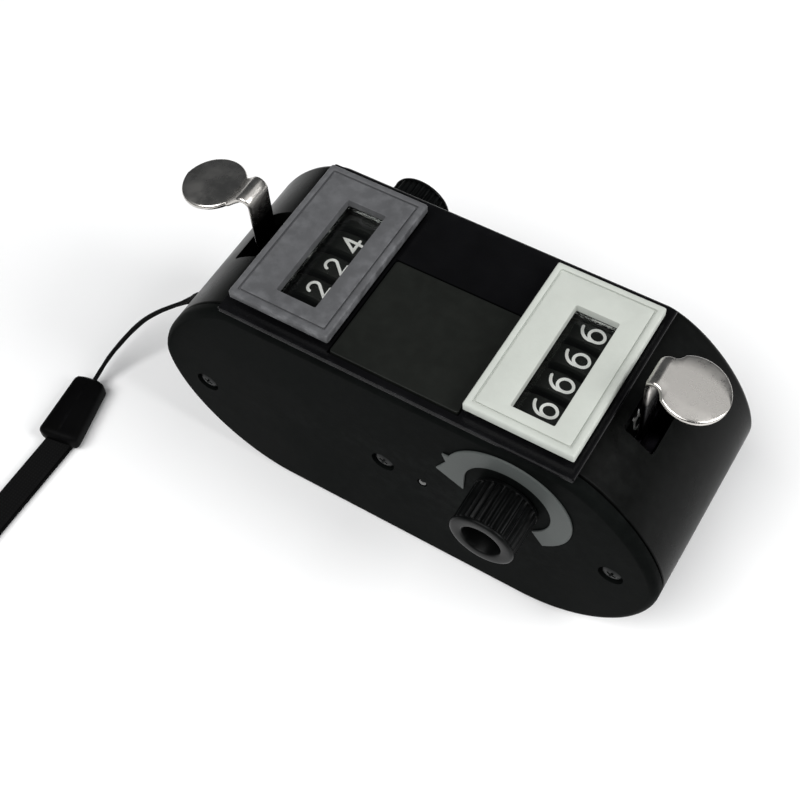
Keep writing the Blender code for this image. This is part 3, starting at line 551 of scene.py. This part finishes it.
# ---------------- body
LENGTH = 100.0
HEIGHT = 48.2
WAIST = 25.2
TOP_FLAT = 31.4
BOTTOM_FLAT = 25.8
TOP_POWER = 1.55
BOTTOM_POWER = 1.87
WALL = 2.2
EDGE_ROUND = 1.4
FRONT, BACK = -19.25, 19.25
COVER_BACK = -16.85
SHELL_FRONT = -16.55
UNIT_X = 22.4
AXLE_Z = 34.3
SCREWS = {"left": (-41.1, 21.2), "middle": (-2.4, 24.8), "right": (41.7, 25.5)}
COVER_PIN = (5.6, 24.4)
SCREW_HEAD_R = 1.95
SCREW_SHANK_R = 1.0
SCREW_HOLE_R = 1.3
SHAFT_HOLE_R = 2.1
LEVER_SLOT_X = (35.2, 40.6)
LEVER_SLOT_Y = (-5.4, 6.0)
LEVER_SLOT_LOW = 37.5
TOP_HOLE = (8.5, 14.6)
EYE_R = 2.35
EYE_WIRE = (0.7, 1.05)
SIDES = {"right": 1, "left": -1}


def oval(inset):
    """The body's outline in XZ, moved in by the inset."""
    steps = 44
    half = LENGTH / 2 - inset
    top_flat = TOP_FLAT - 0.3 * inset
    bottom_flat = BOTTOM_FLAT - 0.3 * inset
    side = []
    for i in range(steps + 1):
        t = i * pi / 2 / steps
        side.append((top_flat + (half - top_flat) * sin(t) ** (2 / TOP_POWER),
                     WAIST + (HEIGHT - inset - WAIST) * cos(t) ** (2 / TOP_POWER)))
    for i in range(1, steps + 1):
        t = i * pi / 2 / steps
        side.append((bottom_flat + (half - bottom_flat) * cos(t) ** (2 / BOTTOM_POWER),
                     WAIST - (WAIST - inset) * sin(t) ** (2 / BOTTOM_POWER)))
    return side + [(-x, z) for x, z in reversed(side)]


def oval_prism(sections):
    return loft([[(x, y, z) for x, z in oval(inset)] for y, inset in sections])


def rounded_end(edge, inward):
    """Sections (y, inset) that round the rim of a prism from its flat face inward."""
    turns = [i * pi / 12 for i in range(7)]
    return [(edge + inward * EDGE_ROUND * (1 - cos(a)), EDGE_ROUND * (1 - sin(a))) for a in turns]


def lever_slot(side):
    near, far = sorted(side * x for x in LEVER_SLOT_X)
    return box((near, LEVER_SLOT_Y[0], LEVER_SLOT_LOW), (far, LEVER_SLOT_Y[1], HEIGHT + 2), 0.5, 3)


def make_body():
    shell = oval_prism([(SHELL_FRONT, 0.25), (SHELL_FRONT + 0.1, 0.08), (SHELL_FRONT + 0.25, 0.0)]
                       + rounded_end(BACK, -1)[::-1])
    cuts = [oval_prism([(SHELL_FRONT - 1, WALL), (BACK - WALL, WALL)])]
    for side in SIDES.values():
        cuts.append(lever_slot(side))
        cuts.append(box((side * UNIT_X - TOP_HOLE[0], -TOP_HOLE[1], HEIGHT - 6),
                        (side * UNIT_X + TOP_HOLE[0], TOP_HOLE[1], HEIGHT + 2)))
    cuts.append(rod(-UNIT_X, AXLE_Z, BACK - 4, BACK + 2, SHAFT_HOLE_R, 32))
    shell = carve(shell, cuts)
    extras = []
    for x, z in SCREWS.values():
        extras.append(turned([(SCREW_HOLE_R, SHELL_FRONT + 0.6), (1.9, SHELL_FRONT + 0.6),
                              (1.9, BACK - WALL), (SCREW_HOLE_R, -6.0)], x, z, 24))
    for side in SIDES.values():
        for rib_x in (13.0, 30.0):
            extras.append(box((side * rib_x - 0.9, -15.9, 2.0),
                              (side * rib_x + 0.9, BACK - WALL, 12.7), 0.2))
    body = add("body_moulding", joined([shell] + extras), "body", "case", "body_shell")
    weighted(body)
    x, y, z = LUG
    ring = []
    for i in range(28):
        angle = 2 * pi * i / 28
        section = []
        for k in range(10):
            around = 2 * pi * k / 10
            radius = EYE_R + EYE_WIRE[0] * cos(around)
            section.append((x + radius * cos(angle), y + radius * sin(angle),
                            z + EYE_WIRE[1] * sin(around)))
        ring.append(section)
    eye = loft(ring + [ring[0]], False, False)
    root = box((x + 1.9, y - 2.0, z - 0.95), (x + 4.6, y + 2.0, z + 0.95), 0.3)
    add("strap_eye", joined([eye, root]), "body", "case")
    cover = oval_prism(rounded_end(FRONT, 1) + [(COVER_BACK - 0.15, 0.0), (COVER_BACK, 0.15)])
    cuts = [rod(UNIT_X, AXLE_Z, FRONT - 1, COVER_BACK + 1, SHAFT_HOLE_R, 32)]
    for x, z in SCREWS.values():
        cuts.append(rod(x, z, FRONT - 1, COVER_BACK + 1, SCREW_HOLE_R, 24))
        cuts.append(rod(x, z, FRONT - 1, FRONT + 1.3, 2.3, 40))
    cuts.append(rod(*COVER_PIN, FRONT - 1, COVER_BACK + 1, 1.0, 24))
    weighted(add("cover_moulding", carve(cover, cuts), "cover", "case", "front_cover"))


def make_screws():
    for label, (x, z) in SCREWS.items():
        face = FRONT + 0.15
        dome = [(SCREW_HEAD_R * sin(i * pi / 16), face + 0.66 * (1 - cos(i * pi / 16))) for i in range(9)]
        dome[0] = (0.001, face)
        y = face + 0.95
        profile = dome + [(SCREW_HEAD_R, y), (SCREW_SHANK_R, y)]
        while y < FRONT + 8.8:
            profile += [(SCREW_SHANK_R, y + 0.3), (0.8, y + 0.45), (SCREW_SHANK_R, y + 0.6)]
            y += 0.6
        profile.append((0.001, y + 0.4))
        head = turned(profile, x, z, 32)
        arms = []
        for turn in (0.35, 0.35 + pi / 2):
            arm = box((-1.25, face - 1, -0.3), (1.25, face + 0.55, 0.3))
            for vert in arm.vertices:
                if vert.co.y > face:
                    vert.co.x *= 0.55
                    vert.co.z *= 0.7
            arm.transform(Matrix.Translation((x, 0, z)) @ Matrix.Rotation(turn, 4, "Y"))
            arms.append(arm)
        add(f"screw_{label}", carve(head, arms), "screw", "case", f"cover_screw_{label}")
    x, z = COVER_PIN
    profile = [(0.001, FRONT - 0.15), (0.3, FRONT - 0.12), (0.6, FRONT), (0.75, FRONT + 0.2),
               (0.75, FRONT + 4.8), (0.6, FRONT + 5.0), (0.001, FRONT + 5.0)]
    add("pin_domed", turned(profile, x, z, 28), "pin", "case", "cover_pin")


def rectangle(x0, x1, y0, y1, inset, z, corner=0.3, steps=4):
    """A rectangle with round corners, as a ring of points at a height."""
    x0, x1, y0, y1 = x0 + inset, x1 - inset, y0 + inset, y1 - inset
    points = []
    for cx, cy, start in ((x1 - corner, y1 - corner, 0), (x0 + corner, y1 - corner, 90),
                          (x0 + corner, y0 + corner, 180), (x1 - corner, y0 + corner, 270)):
        for i in range(steps + 1):
            angle = radians(start + 90 * i / steps)
            points.append((cx + corner * cos(angle), cy + corner * sin(angle), z))
    return points


def make_deck():
    low, high = box_of("top_deck")
    top = high.z
    deck_low = HEIGHT + 0.3
    outline = (low.x, high.x, low.y, high.y)
    rings = [rectangle(*outline, inset, z) for inset, z in
             ((0.2, deck_low), (0.02, deck_low + 0.06), (0.0, deck_low + 0.14), (0.0, top - 0.64),
              (0.16, top - 0.6), (0.16, top - 0.5), (0.0, top - 0.46), (0.0, top - 0.26),
              (0.1, top - 0.08), (0.3, top))]
    cuts = []
    for label in SIDES:
        neck_low, neck_high = box_of(f"dial_mask_{label}")
        cuts.append(box((neck_low.x - 0.3, neck_low.y - 0.3, HEIGHT - 3),
                        (neck_high.x + 0.3, neck_high.y + 0.3, top + 2)))
    plate_low, plate_high = box_of("name_plate")
    cuts.append(box((plate_low.x - 0.3, plate_low.y - 0.3, plate_low.z - 0.2),
                    (plate_high.x + 0.3, plate_high.y + 0.35, top + 1)))
    weighted(add("deck_moulding", carve(loft(rings), cuts), "deck", "case", "top_deck"))
    plate = (plate_low.x, plate_high.x, plate_low.y, plate_high.y)
    rings = [rectangle(*plate, inset, z, 0.5) for inset, z in
             ((0.06, plate_low.z), (0.0, plate_low.z + 0.06), (0.0, plate_high.z - 0.16),
              (0.03, plate_high.z - 0.07), (0.09, plate_high.z - 0.02), (0.16, plate_high.z))]
    weighted(add("plate_panel", loft(rings), "plate", "case", "name_plate"))


ARROW_OUTER_R = 11.9
ARROW_INNER_R = 8.0
ARROW_HEAD = [(-12.2, 4.5), (-11.5, 2.5), (-13.5, -1.0), (-8.3, -3.8)]


def arrow_outline(x, z, side):
    outer = arc_points(0, 0, ARROW_OUTER_R, ARROW_OUTER_R, -55, 157, 60)
    inner = arc_points(0, 0, ARROW_INNER_R, ARROW_INNER_R, 180, -54, 60)
    return [(x + side * u, z + v) for u, v in outer + ARROW_HEAD + inner]


def make_arrows():
    for name, side, out_face, way in (("front", 1, FRONT, -1), ("rear", -1, BACK, 1)):
        outline = arrow_outline(side * UNIT_X, AXLE_Z, side)
        centre = Vector((side * UNIT_X, AXLE_Z))
        bm = bmesh.new()
        faces = []
        for offset, y in ((0.0, 0.08), (0.0, 0.3), (0.12, 0.4)):
            ring = []
            count = len(outline)
            for i, point in enumerate(outline):
                before, after = Vector(outline[i - 1]), Vector(outline[(i + 1) % count])
                along = (after - before).normalized()
                normal = Vector((-along.y, along.x))
                moved = Vector(point) + normal * offset * side
                ring.append(bm.verts.new((moved.x, out_face + way * y, moved.y)))
            faces.append(ring)
        for near, far in zip(faces, faces[1:]):
            for i in range(len(near)):
                j = (i + 1) % len(near)
                bm.faces.new((near[i], near[j], far[j], far[i]))
        bm.faces.new(faces[0])
        bm.faces.new(faces[-1])
        add(f"arrow_band_{name}", finish_mesh(bm), "arrow", "case", f"{name}_arrow", 25)


# ---------------- windows
WINDOW_SIZE = (7.7, 22.0)
WINDOW_SHIFT = {"right": (0.75, -2.2), "left": (0.95, -1.4)}


def make_window(label, side):
    low, high = box_of(f"bezel_{label}")
    outer = (low.x, high.x, low.y, high.y)
    middle_x = side * UNIT_X + WINDOW_SHIFT[label][0]
    middle_y = WINDOW_SHIFT[label][1]
    half_x, half_y = WINDOW_SIZE[0] / 2, WINDOW_SIZE[1] / 2
    window = (middle_x - half_x, middle_x + half_x, middle_y - half_y, middle_y + half_y)
    top, base = high.z, low.z
    rings = [rectangle(*outer, inset, z) for inset, z in
             ((0.1, base), (0.0, base + 0.1), (0.0, top - 0.34), (0.06, top - 0.18), (0.18, top - 0.05),
              (0.36, top), (1.02, top), (1.1, top - 0.05), (1.16, top - 0.42), (1.44, top - 0.44),
              (1.5, top - 0.14), (1.7, top - 0.1))]
    rings += [rectangle(*window, inset, z) for inset, z in
              ((-0.25, top - 0.1), (-0.06, top - 0.14), (0.0, top - 0.28), (0.0, base + 0.1), (-0.1, base))]
    bezel = loft(rings + [rings[0]], False, False)
    add(f"bezel_frame_{label}", bezel, f"bezel_{label}", "case", f"bezel_{label}", 28)
    mask_low, mask_high = box_of(f"dial_mask_{label}")
    neck = (mask_low.x, mask_high.x, mask_low.y, mask_high.y)
    opening = (window[0] - 0.6, window[1] + 0.6, window[2] - 0.6, window[3] + 0.6)
    base, top = mask_low.z, mask_high.z
    rings = [rectangle(*edge, inset, z) for edge, inset, z in
             ((neck, 1.2, base), (neck, 0.1, base), (neck, 0.0, base + 0.1), (neck, 0.0, top - 0.15),
              (neck, 0.15, top), (opening, 0.0, top), (opening, 0.0, top - 1.0), (neck, 1.2, top - 1.0))]
    add(f"neck_{label}", loft(rings + [rings[0]], False, False), "mask", "case",
        f"dial_mask_{label}")
    lens_low, lens_high = box_of(f"lens_{label}")
    lens = (lens_low.x, lens_high.x, lens_low.y, lens_high.y)
    rings = [rectangle(*lens, 0.0, lens_low.z), rectangle(*lens, 0.0, lens_high.z - 0.3),
             rectangle(*lens, 0.25, lens_high.z)]
    add(f"window_{label}", loft(rings), "lens", "case", f"lens_{label}")


# ---------------- numerals
# Strokes of each numeral, in a cell 1 wide and 1.6 high with its middle at the origin.
STROKES = {
    0: [arc_points(0, 0, 0.5, 0.8, 90, 450, 28)],
    1: [[(-0.22, 0.55), (0.08, 0.8), (0.08, -0.8)]],
    2: [arc_points(0, 0.34, 0.48, 0.46, 165, -30) + [(-0.46, -0.8), (0.52, -0.8)]],
    3: [arc_points(0, 0.4, 0.44, 0.4, 150, -90) + arc_points(0, -0.4, 0.5, 0.4, 90, -150)[1:]],
    4: [[(0.22, -0.8), (0.22, 0.8), (-0.55, -0.36), (0.55, -0.36)]],
    5: [[(0.42, 0.8), (-0.36, 0.8), (-0.44, 0.08)] + arc_points(0, -0.28, 0.5, 0.52, 140, -150)],
    6: [arc_points(0.02, -0.3, 0.48, 0.5, 0, 360, 26),
        arc_points(0.5, 0.0, 1.0, 0.8, 90, 180, 12)[1:] + [(-0.46, -0.3)]],
    7: [[(-0.48, 0.8), (0.48, 0.8), (-0.12, -0.8)]],
    8: [arc_points(0, 0.4, 0.4, 0.4, 90, 450, 24), arc_points(0, -0.38, 0.5, 0.42, 90, 450, 26)],
    9: [arc_points(-0.02, 0.3, 0.48, 0.5, 0, 360, 26),
        arc_points(-0.5, 0.0, 1.0, 0.8, -90, 0, 12)[1:] + [(0.46, 0.3)]],
}
NUMERAL_HEIGHT = {"right": 4.3, "left": 3.7}
NUMERAL_WIDTH = {"right": 2.5, "left": 2.2}
STROKE = 0.53
STROKE_STEP = 0.5


def finer(points):
    """The same line with more points, so that it can follow the curve of a wheel."""
    result = [points[0]]
    for before, after in zip(points, points[1:]):
        steps = max(1, round((Vector(after) - Vector(before)).length / STROKE_STEP))
        result += [tuple(Vector(before).lerp(Vector(after), i / steps)) for i in range(1, steps + 1)]
    return result


def stroke_outline(points):
    """A stroke's two edges, with a round cap at each end, as one outline."""
    points = [Vector(p) for p in points]
    left, right = [], []
    for i, point in enumerate(points):
        before = (point - points[i - 1]).normalized() if i else (points[1] - point).normalized()
        after = (points[i + 1] - point).normalized() if i + 1 < len(points) else before
        along = (before + after).normalized()
        reach = STROKE / 2 / max(0.45, along.dot(before))
        normal = Vector((-along.y, along.x)) * reach
        left.append(point + normal)
        right.append(point - normal)
    return left, right


def numeral_mesh(strokes, width, height, place):
    """One numeral as thin closed strips, with each point put on the wheel by place(u, v, height)."""
    bm = bmesh.new()
    for stroke in strokes:
        scaled = finer([(u * width, v * height / 1.6) for u, v in stroke])
        left, right = stroke_outline(scaled)
        loops = []
        for a, b in zip(left, right):
            loops.append([bm.verts.new(place(a.x, a.y, 1)), bm.verts.new(place(b.x, b.y, 1)),
                          bm.verts.new(place(b.x, b.y, 0)), bm.verts.new(place(a.x, a.y, 0))])
        for near, far in zip(loops, loops[1:]):
            for i in range(4):
                j = (i + 1) % 4
                bm.faces.new((near[i], near[j], far[j], far[i]))
        bm.faces.new(loops[0])
        bm.faces.new(loops[-1])
        for end, inner in ((scaled[0], scaled[1]), (scaled[-1], scaled[-2])):
            away = (Vector(end) - Vector(inner)).normalized()
            heading = atan2(away.y, away.x)
            fan = [Vector(end) + Vector((cos(heading + a), sin(heading + a))) * STROKE / 2
                   for a in [-pi / 2 + pi * i / 6 for i in range(7)]]
            tops = [bm.verts.new(place(p.x, p.y, 1)) for p in fan]
            bottoms = [bm.verts.new(place(p.x, p.y, 0)) for p in fan]
            bm.faces.new(tops)
            bm.faces.new(bottoms)
            for i in range(len(fan)):
                j = (i + 1) % len(fan)
                bm.faces.new((tops[i], tops[j], bottoms[j], bottoms[i]))
    return finish_mesh(bm)


WHEELS = ("thousands", "hundreds", "tens", "units")
SHOWN = {"right": (6, 6, 6, 6), "left": (2, 2, 4, 0)}
SHIFT = {"right": 0.0, "left": 2.3}
WHEEL_R = 12.5
WHEEL_BORE = 1.69
RIM_HALF = 2.0
RIM_IN_R = 11.3
HUB_R = 3.0
WHEEL_PITCH = 5.5
GEAR_TEETH = 20
GEAR_RADII = (10.5, 9.4)
REST_TURN = 1.8


def gear_mesh(x, z, y0, y1):
    """A wheel's gear disc, with trapezoidal teeth, round its hub."""
    outline = []
    tip, root = GEAR_RADII
    step = 2 * pi / GEAR_TEETH
    phase = (step - pi) / 2
    for i in range(GEAR_TEETH):
        for offset, radius in ((-0.34, root), (-0.14, tip), (0.14, tip), (0.34, root)):
            angle = phase + (i + offset) * step
            outline.append((radius, angle))
    bm = bmesh.new()
    rings = []
    for inner, y in ((True, y0), (False, y0), (False, y1), (True, y1)):
        ring = []
        for radius, angle in outline:
            r = HUB_R - 0.1 if inner else radius
            ring.append(bm.verts.new((x + r * cos(angle), y, z + r * sin(angle))))
        rings.append(ring)
    for near, far in zip(rings, rings[1:] + rings[:1]):
        for i in range(len(near)):
            j = (i + 1) % len(near)
            bm.faces.new((near[i], near[j], far[j], far[i]))
    return finish_mesh(bm)


def make_wheels(label, side):
    x = side * UNIT_X
    for index, name in enumerate(WHEELS):
        centre = SHIFT[label] + (index - 1.5) * WHEEL_PITCH
        body = f"{label}_{name}_wheel"
        half = RIM_HALF
        profile = [(WHEEL_BORE, -2.4), (HUB_R, -2.4), (HUB_R, 0.8), (RIM_IN_R, 0.8),
                   (RIM_IN_R, -half + 0.15), (RIM_IN_R + 0.15, -half), (WHEEL_R - 0.25, -half),
                   (WHEEL_R - 0.06, -half + 0.08), (WHEEL_R, -half + 0.3), (WHEEL_R, 0.0),
                   (WHEEL_R, half - 0.3), (WHEEL_R - 0.06, half - 0.08), (WHEEL_R - 0.25, half),
                   (HUB_R, half), (HUB_R, 2.8), (WHEEL_BORE, 2.8)]
        parts = [turned([(r, y + centre) for r, y in profile], x, AXLE_Z, 96)]
        if name != "units":
            parts.append(gear_mesh(x, AXLE_Z, centre + half - 0.1, centre + half + 0.6))
        if name != "thousands":
            tooth = box((9.0, centre - half - 0.6, -0.5), (9.9, centre + 0.9, 0.5), 0.12)
            tooth.transform(Matrix.Translation((x, 0, AXLE_Z)) @ Matrix.Rotation(-pi / 4, 4, "Y"))
            parts.append(tooth)
        add(f"number_ring_{name}_{label}", joined(parts), "wheel", body,
            f"{name}_wheel_{label}")
        shown = SHOWN[label][index]
        digits = []
        for step in range(10):
            digit = (shown + step) % 10
            middle = radians(REST_TURN + 36 * step)

            def place(u, v, raised, middle=middle, centre=centre):
                angle = middle - v / WHEEL_R
                radius = WHEEL_R + (0.05 if raised else -0.08)
                return (x + radius * sin(angle), centre + u, AXLE_Z + radius * cos(angle))

            digits.append(numeral_mesh(STROKES[digit], NUMERAL_WIDTH[label], NUMERAL_HEIGHT[label], place))
        # The left units wheel's numerals are painted dark: painted shade, as that wheel lies in shadow
        # under the window's far edge.
        in_painted_shade = label == "left" and name == "units"
        numeral_material = "numeral_painted_shade" if in_painted_shade else "numeral"
        add(f"numerals_{name}_{label}", joined(digits), numeral_material, body)


# ---------------- knobs
KNOB_RIBS = 32
RIB_DEPTH = 0.5
RIB_SPAN = (0.6, 7.9)


def make_knob(label, side):
    """A ribbed knob with a round hole: at the front on the right, at the back on the left."""
    x, way = side * UNIT_X, -side
    base = way * (BACK + 0.5)

    def ribbed(angle, radius, y):
        if RIB_SPAN[0] < abs(y - base) < RIB_SPAN[1] and radius > 5:
            wave = 0.5 + 0.5 * cos(KNOB_RIBS * angle)
            return radius - RIB_DEPTH * (1 - wave ** 1.8)
        return radius

    spans = [(5.7, 0.0), (5.85, 0.1), (5.92, 0.3), (5.92, 0.55), (5.92, 0.7), (5.92, 2.5), (5.9, 4.5),
             (5.88, 7.4), (5.86, 7.75), (5.72, 7.9), (5.86, 8.0), (5.9, 8.15), (5.82, 8.4), (5.6, 8.55),
             (5.3, 8.6), (4.0, 8.6), (3.75, 8.52), (3.6, 8.3), (3.6, 3.6), (3.4, 3.4), (0.01, 3.35),
             (0.01, 2.95), (1.66, 2.8), (1.66, 0.0)]
    profile = [(r, base + way * d) for r, d in spans]
    knob = turned(profile, x, AXLE_Z, 240, ribbed)
    add(f"knob_{label}", knob, "knob", f"{label}_reset", f"reset_knob_{label}", 40)


# ---------------- levers
LEVERS = {
    "right": {"pad": (43.4, 56.9), "tilt": 0.19, "crest": 57.95, "bend_end": 80, "neck": 3.6},
    "left": {"pad": (46.4, 54.2), "tilt": 0.12, "crest": 57.1, "bend_end": 45, "neck": 5.0},
}
PAD_R = 5.85
PAD_NECK_HALF = 3.3
STEM_X = 37.0
STEM_HALF = 2.7
BEND_R = 1.3
STRAP_HALF = 0.5
HINGE = (9.5, 38.5)
HINGE_BORE_R = 1.09
PAWL_PIVOT = (35.5, 39.4)
PAWL_STUD_R = 0.45
ARM_REACH = 14.6
SPRING_X = 37.5


def lever_line(lever):
    """The strap's centreline in XZ and its half-width, from its foot to the pad's outer edge."""
    pad_x, pad_z = lever["pad"]
    tilt, bend_z = lever["tilt"], lever["crest"] - BEND_R
    line = [(STEM_X, z, STEM_HALF) for z in (40.2, 44.0, 50.0, bend_z - 1.5)]
    line.append((STEM_X, bend_z, STEM_HALF + 0.02))
    steps = 10
    for i in range(1, steps + 1):
        angle = radians(180 + (lever["bend_end"] - 180) * i / steps)
        line.append((STEM_X + BEND_R + BEND_R * cos(angle), bend_z + BEND_R * sin(angle),
                     STEM_HALF + 0.05 + 0.35 * i / steps))
    start_x, start_z, start_w = line[-1]
    neck = -lever["neck"]
    end = (pad_x + neck * cos(tilt), pad_z - neck * sin(tilt))
    for i in range(1, 5):
        t = i / 5
        line.append((start_x + (end[0] - start_x) * t, start_z + (end[1] - start_z) * t,
                     start_w + (max(PAD_NECK_HALF, sqrt(PAD_R ** 2 - neck ** 2)) - start_w) * t ** 2))
    count = 26
    first = acos(-neck / PAD_R)
    for i in range(count + 1):
        angle = first + (pi - first - 0.05) * i / count
        along = -PAD_R * cos(angle)
        half = PAD_R * sin(angle)
        if along < -3.0:
            half = max(half, PAD_NECK_HALF)
        line.append((pad_x + along * cos(tilt), pad_z - along * sin(tilt), half))
    return line


def make_lever(label, side):
    lever = LEVERS[label]
    line = lever_line(lever)
    thick = STRAP_HALF
    rings = []
    for i, (px, pz, half) in enumerate(line):
        before = Vector(line[max(i - 1, 0)][:2])
        after = Vector(line[min(i + 1, len(line) - 1)][:2])
        along = (after - before).normalized()
        normal = Vector((-along.y, along.x))
        edge = min(0.48, half * 0.9)
        ring = []
        for sign in (1, -1):
            for k in range(7):
                angle = pi / 2 - pi * k / 6
                across = sign * (half - edge + edge * cos(angle))
                lift = thick * sin(angle) * sign
                ring.append((side * (px + normal.x * lift), across, pz + normal.y * lift))
            if sign == 1:
                ring += [(side * (px - normal.x * thick), half * f, pz - normal.y * thick)
                         for f in (0.5 * (half - edge) / half, -0.5 * (half - edge) / half)]
            else:
                ring += [(side * (px + normal.x * thick), half * f, pz + normal.y * thick)
                         for f in (-0.5 * (half - edge) / half, 0.5 * (half - edge) / half)]
        rings.append(ring)
    parts = [loft(rings)]
    shift = SHIFT[label]
    near, far = sorted((side * (STEM_X - thick), side * (STEM_X + thick)))
    parts.append(box((near, shift - ARM_REACH, 37.2), (far, shift + ARM_REACH, 41.0), 0.12))
    seat = sorted((side * (SPRING_X - 1.5), side * (SPRING_X + 1.9)))
    parts.append(box((seat[0], -1.9, 36.5), (seat[1], 1.9, 37.4), 0.12))
    outline = arc_points(*HINGE, 2.2, 2.2, 100, 280, 16)
    outline += [(15.5, 39.5), (19.0, 40.4), (UNIT_X, 40.7), (26.0, 40.4), (29.5, 39.6)]
    outline += arc_points(STEM_X - 1.2, 39.1, 1.7, 1.7, -100, 70, 16)
    outline += [(30.2, 42.8), (26.5, 43.7), (UNIT_X, 43.9), (18.0, 43.6), (14.5, 42.5)]
    for y in (shift - ARM_REACH, shift + ARM_REACH - 0.9):
        arm = loft([[(side * u, y + step, v) for u, v in outline] for step in (0.08, 0.82)])
        parts.append(carve(arm, [rod(side * HINGE[0], HINGE[1], y - 1, y + 2, HINGE_BORE_R, 32)]))
    near, far = sorted((side * 34.6, side * STEM_X))
    parts.append(box((near, shift + 11.95, 38.45), (far, shift + 12.65, 40.35), 0.15))
    parts.append(rod(side * PAWL_PIVOT[0], PAWL_PIVOT[1], shift + 10.5, shift + 12.2, PAWL_STUD_R, 24))
    add(f"lever_strap_{label}", joined(parts), "lever", f"{label}_lever", f"lever_{label}", 50)


# ---------------- return springs
SPRING_LOW = 14.3
SPRING_HIGH = 36.2
SPRING_TURNS = 7
COIL_R = 1.6
WIRE_R = 0.25


def make_spring(label, side):
    """A coil with its last half turn at each end laid flat."""
    per_turn, count = 16, 16 * SPRING_TURNS
    low, high = SPRING_LOW + WIRE_R + 0.02, SPRING_HIGH - WIRE_R - 0.02
    centres = []
    for i in range(count + 1):
        rise = min(1.0, max(0.0, (i - per_turn / 2) / (count - per_turn)))
        angle = 2 * pi * i / per_turn
        centres.append(Vector((side * SPRING_X + COIL_R * cos(angle), COIL_R * sin(angle),
                               low + (high - low) * rise)))
    rings = []
    for i, centre in enumerate(centres):
        outward = Vector((cos(2 * pi * i / per_turn), sin(2 * pi * i / per_turn), 0))
        rings.append([centre + outward * WIRE_R * cos(a) + Vector((0, 0, WIRE_R * sin(a)))
                      for a in [2 * pi * k / 8 for k in range(8)]])
    coil = add(f"coil_{label}", loft(rings), "steel", "case", f"return_spring_{label}", 60)
    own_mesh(coil)


# ---------------- inner pieces shown by their CAD nodes
KEPT = {"chassis": "steel", "reset_shaft": "steel", "pinion_shaft": "steel", "hinge_pin": "steel",
        "stop_pin": "steel", "feed_pawl": "steel", "stop_pawl": "steel", "ratchet": "steel",
        "thousands_pinion": "brass", "hundreds_pinion": "brass", "tens_pinion": "brass"}


def finish_inner():
    for kind, material in KEPT.items():
        for label in SIDES:
            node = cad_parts[f"{kind}_{label}"]
            node.data.materials.clear()
            node.data.materials.append(MATERIALS[material])
            if kind != "stop_pin" and material == "steel":
                bevel = node.modifiers.new("edge", "BEVEL")
                bevel.width = 0.0001
                bevel.segments = 1
                bevel.limit_method = "ANGLE"
                bevel.angle_limit = radians(40)


make_body()
make_screws()
make_deck()
make_arrows()
for unit, unit_side in SIDES.items():
    make_window(unit, unit_side)
    make_wheels(unit, unit_side)
    make_knob(unit, unit_side)
    make_lever(unit, unit_side)
    make_spring(unit, unit_side)
finish_inner()


# ---------------- floor and light
FLOOR_HALF = 1.6
LIGHTS = {
    "key": ((0.78, 0.1, 0.7), (0, 0, 0), (0.5, 0.5), 7.4),
    "fill": ((-0.15, -0.62, 1.1), (0, 0, 0), (1.0, 0.7), 14.8),
    "overhead": ((0.2, 0.4, 0.9), (0.04, 0, 0.05), (0.46, 0.5), 0.55),
}


def make_floor():
    bm = bmesh.new()
    bmesh.ops.create_grid(bm, x_segments=8, y_segments=8, size=FLOOR_HALF)
    mesh = finish_mesh(bm)
    floor = bpy.data.objects.new("floor", mesh)
    made = Nodes("floor_pale")
    cloud = made.noise(6, 3)
    made.set(Base_Color=made.ramp(cloud, [(0.3, (0.93, 0.93, 0.93)), (0.7, (0.96, 0.96, 0.96))]),
             Roughness=0.9, Specular_IOR_Level=0.05)
    floor.data.materials.append(made.material)
    scene.collection.objects.link(floor)


def make_light(name, place, target, size, power):
    data = bpy.data.lights.new(name, "AREA")
    data.shape = "RECTANGLE"
    data.size, data.size_y = size
    data.energy = power
    light = bpy.data.objects.new(name, data)
    direction = Vector(place) - Vector(target)
    light.matrix_world = Matrix.Translation(place) @ direction.to_track_quat("Z", "Y").to_matrix().to_4x4()
    scene.collection.objects.link(light)


def make_world():
    world = bpy.data.worlds.new("studio")
    world.use_nodes = True
    background = world.node_tree.nodes["Background"]
    background.inputs["Color"].default_value = (0.9, 0.95, 1.0, 1.0)
    background.inputs["Strength"].default_value = 0.07
    scene.world = world


make_floor()
make_world()
for light_name, setting in LIGHTS.items():
    make_light(light_name, *setting)
scene.view_settings.view_transform = "Standard"
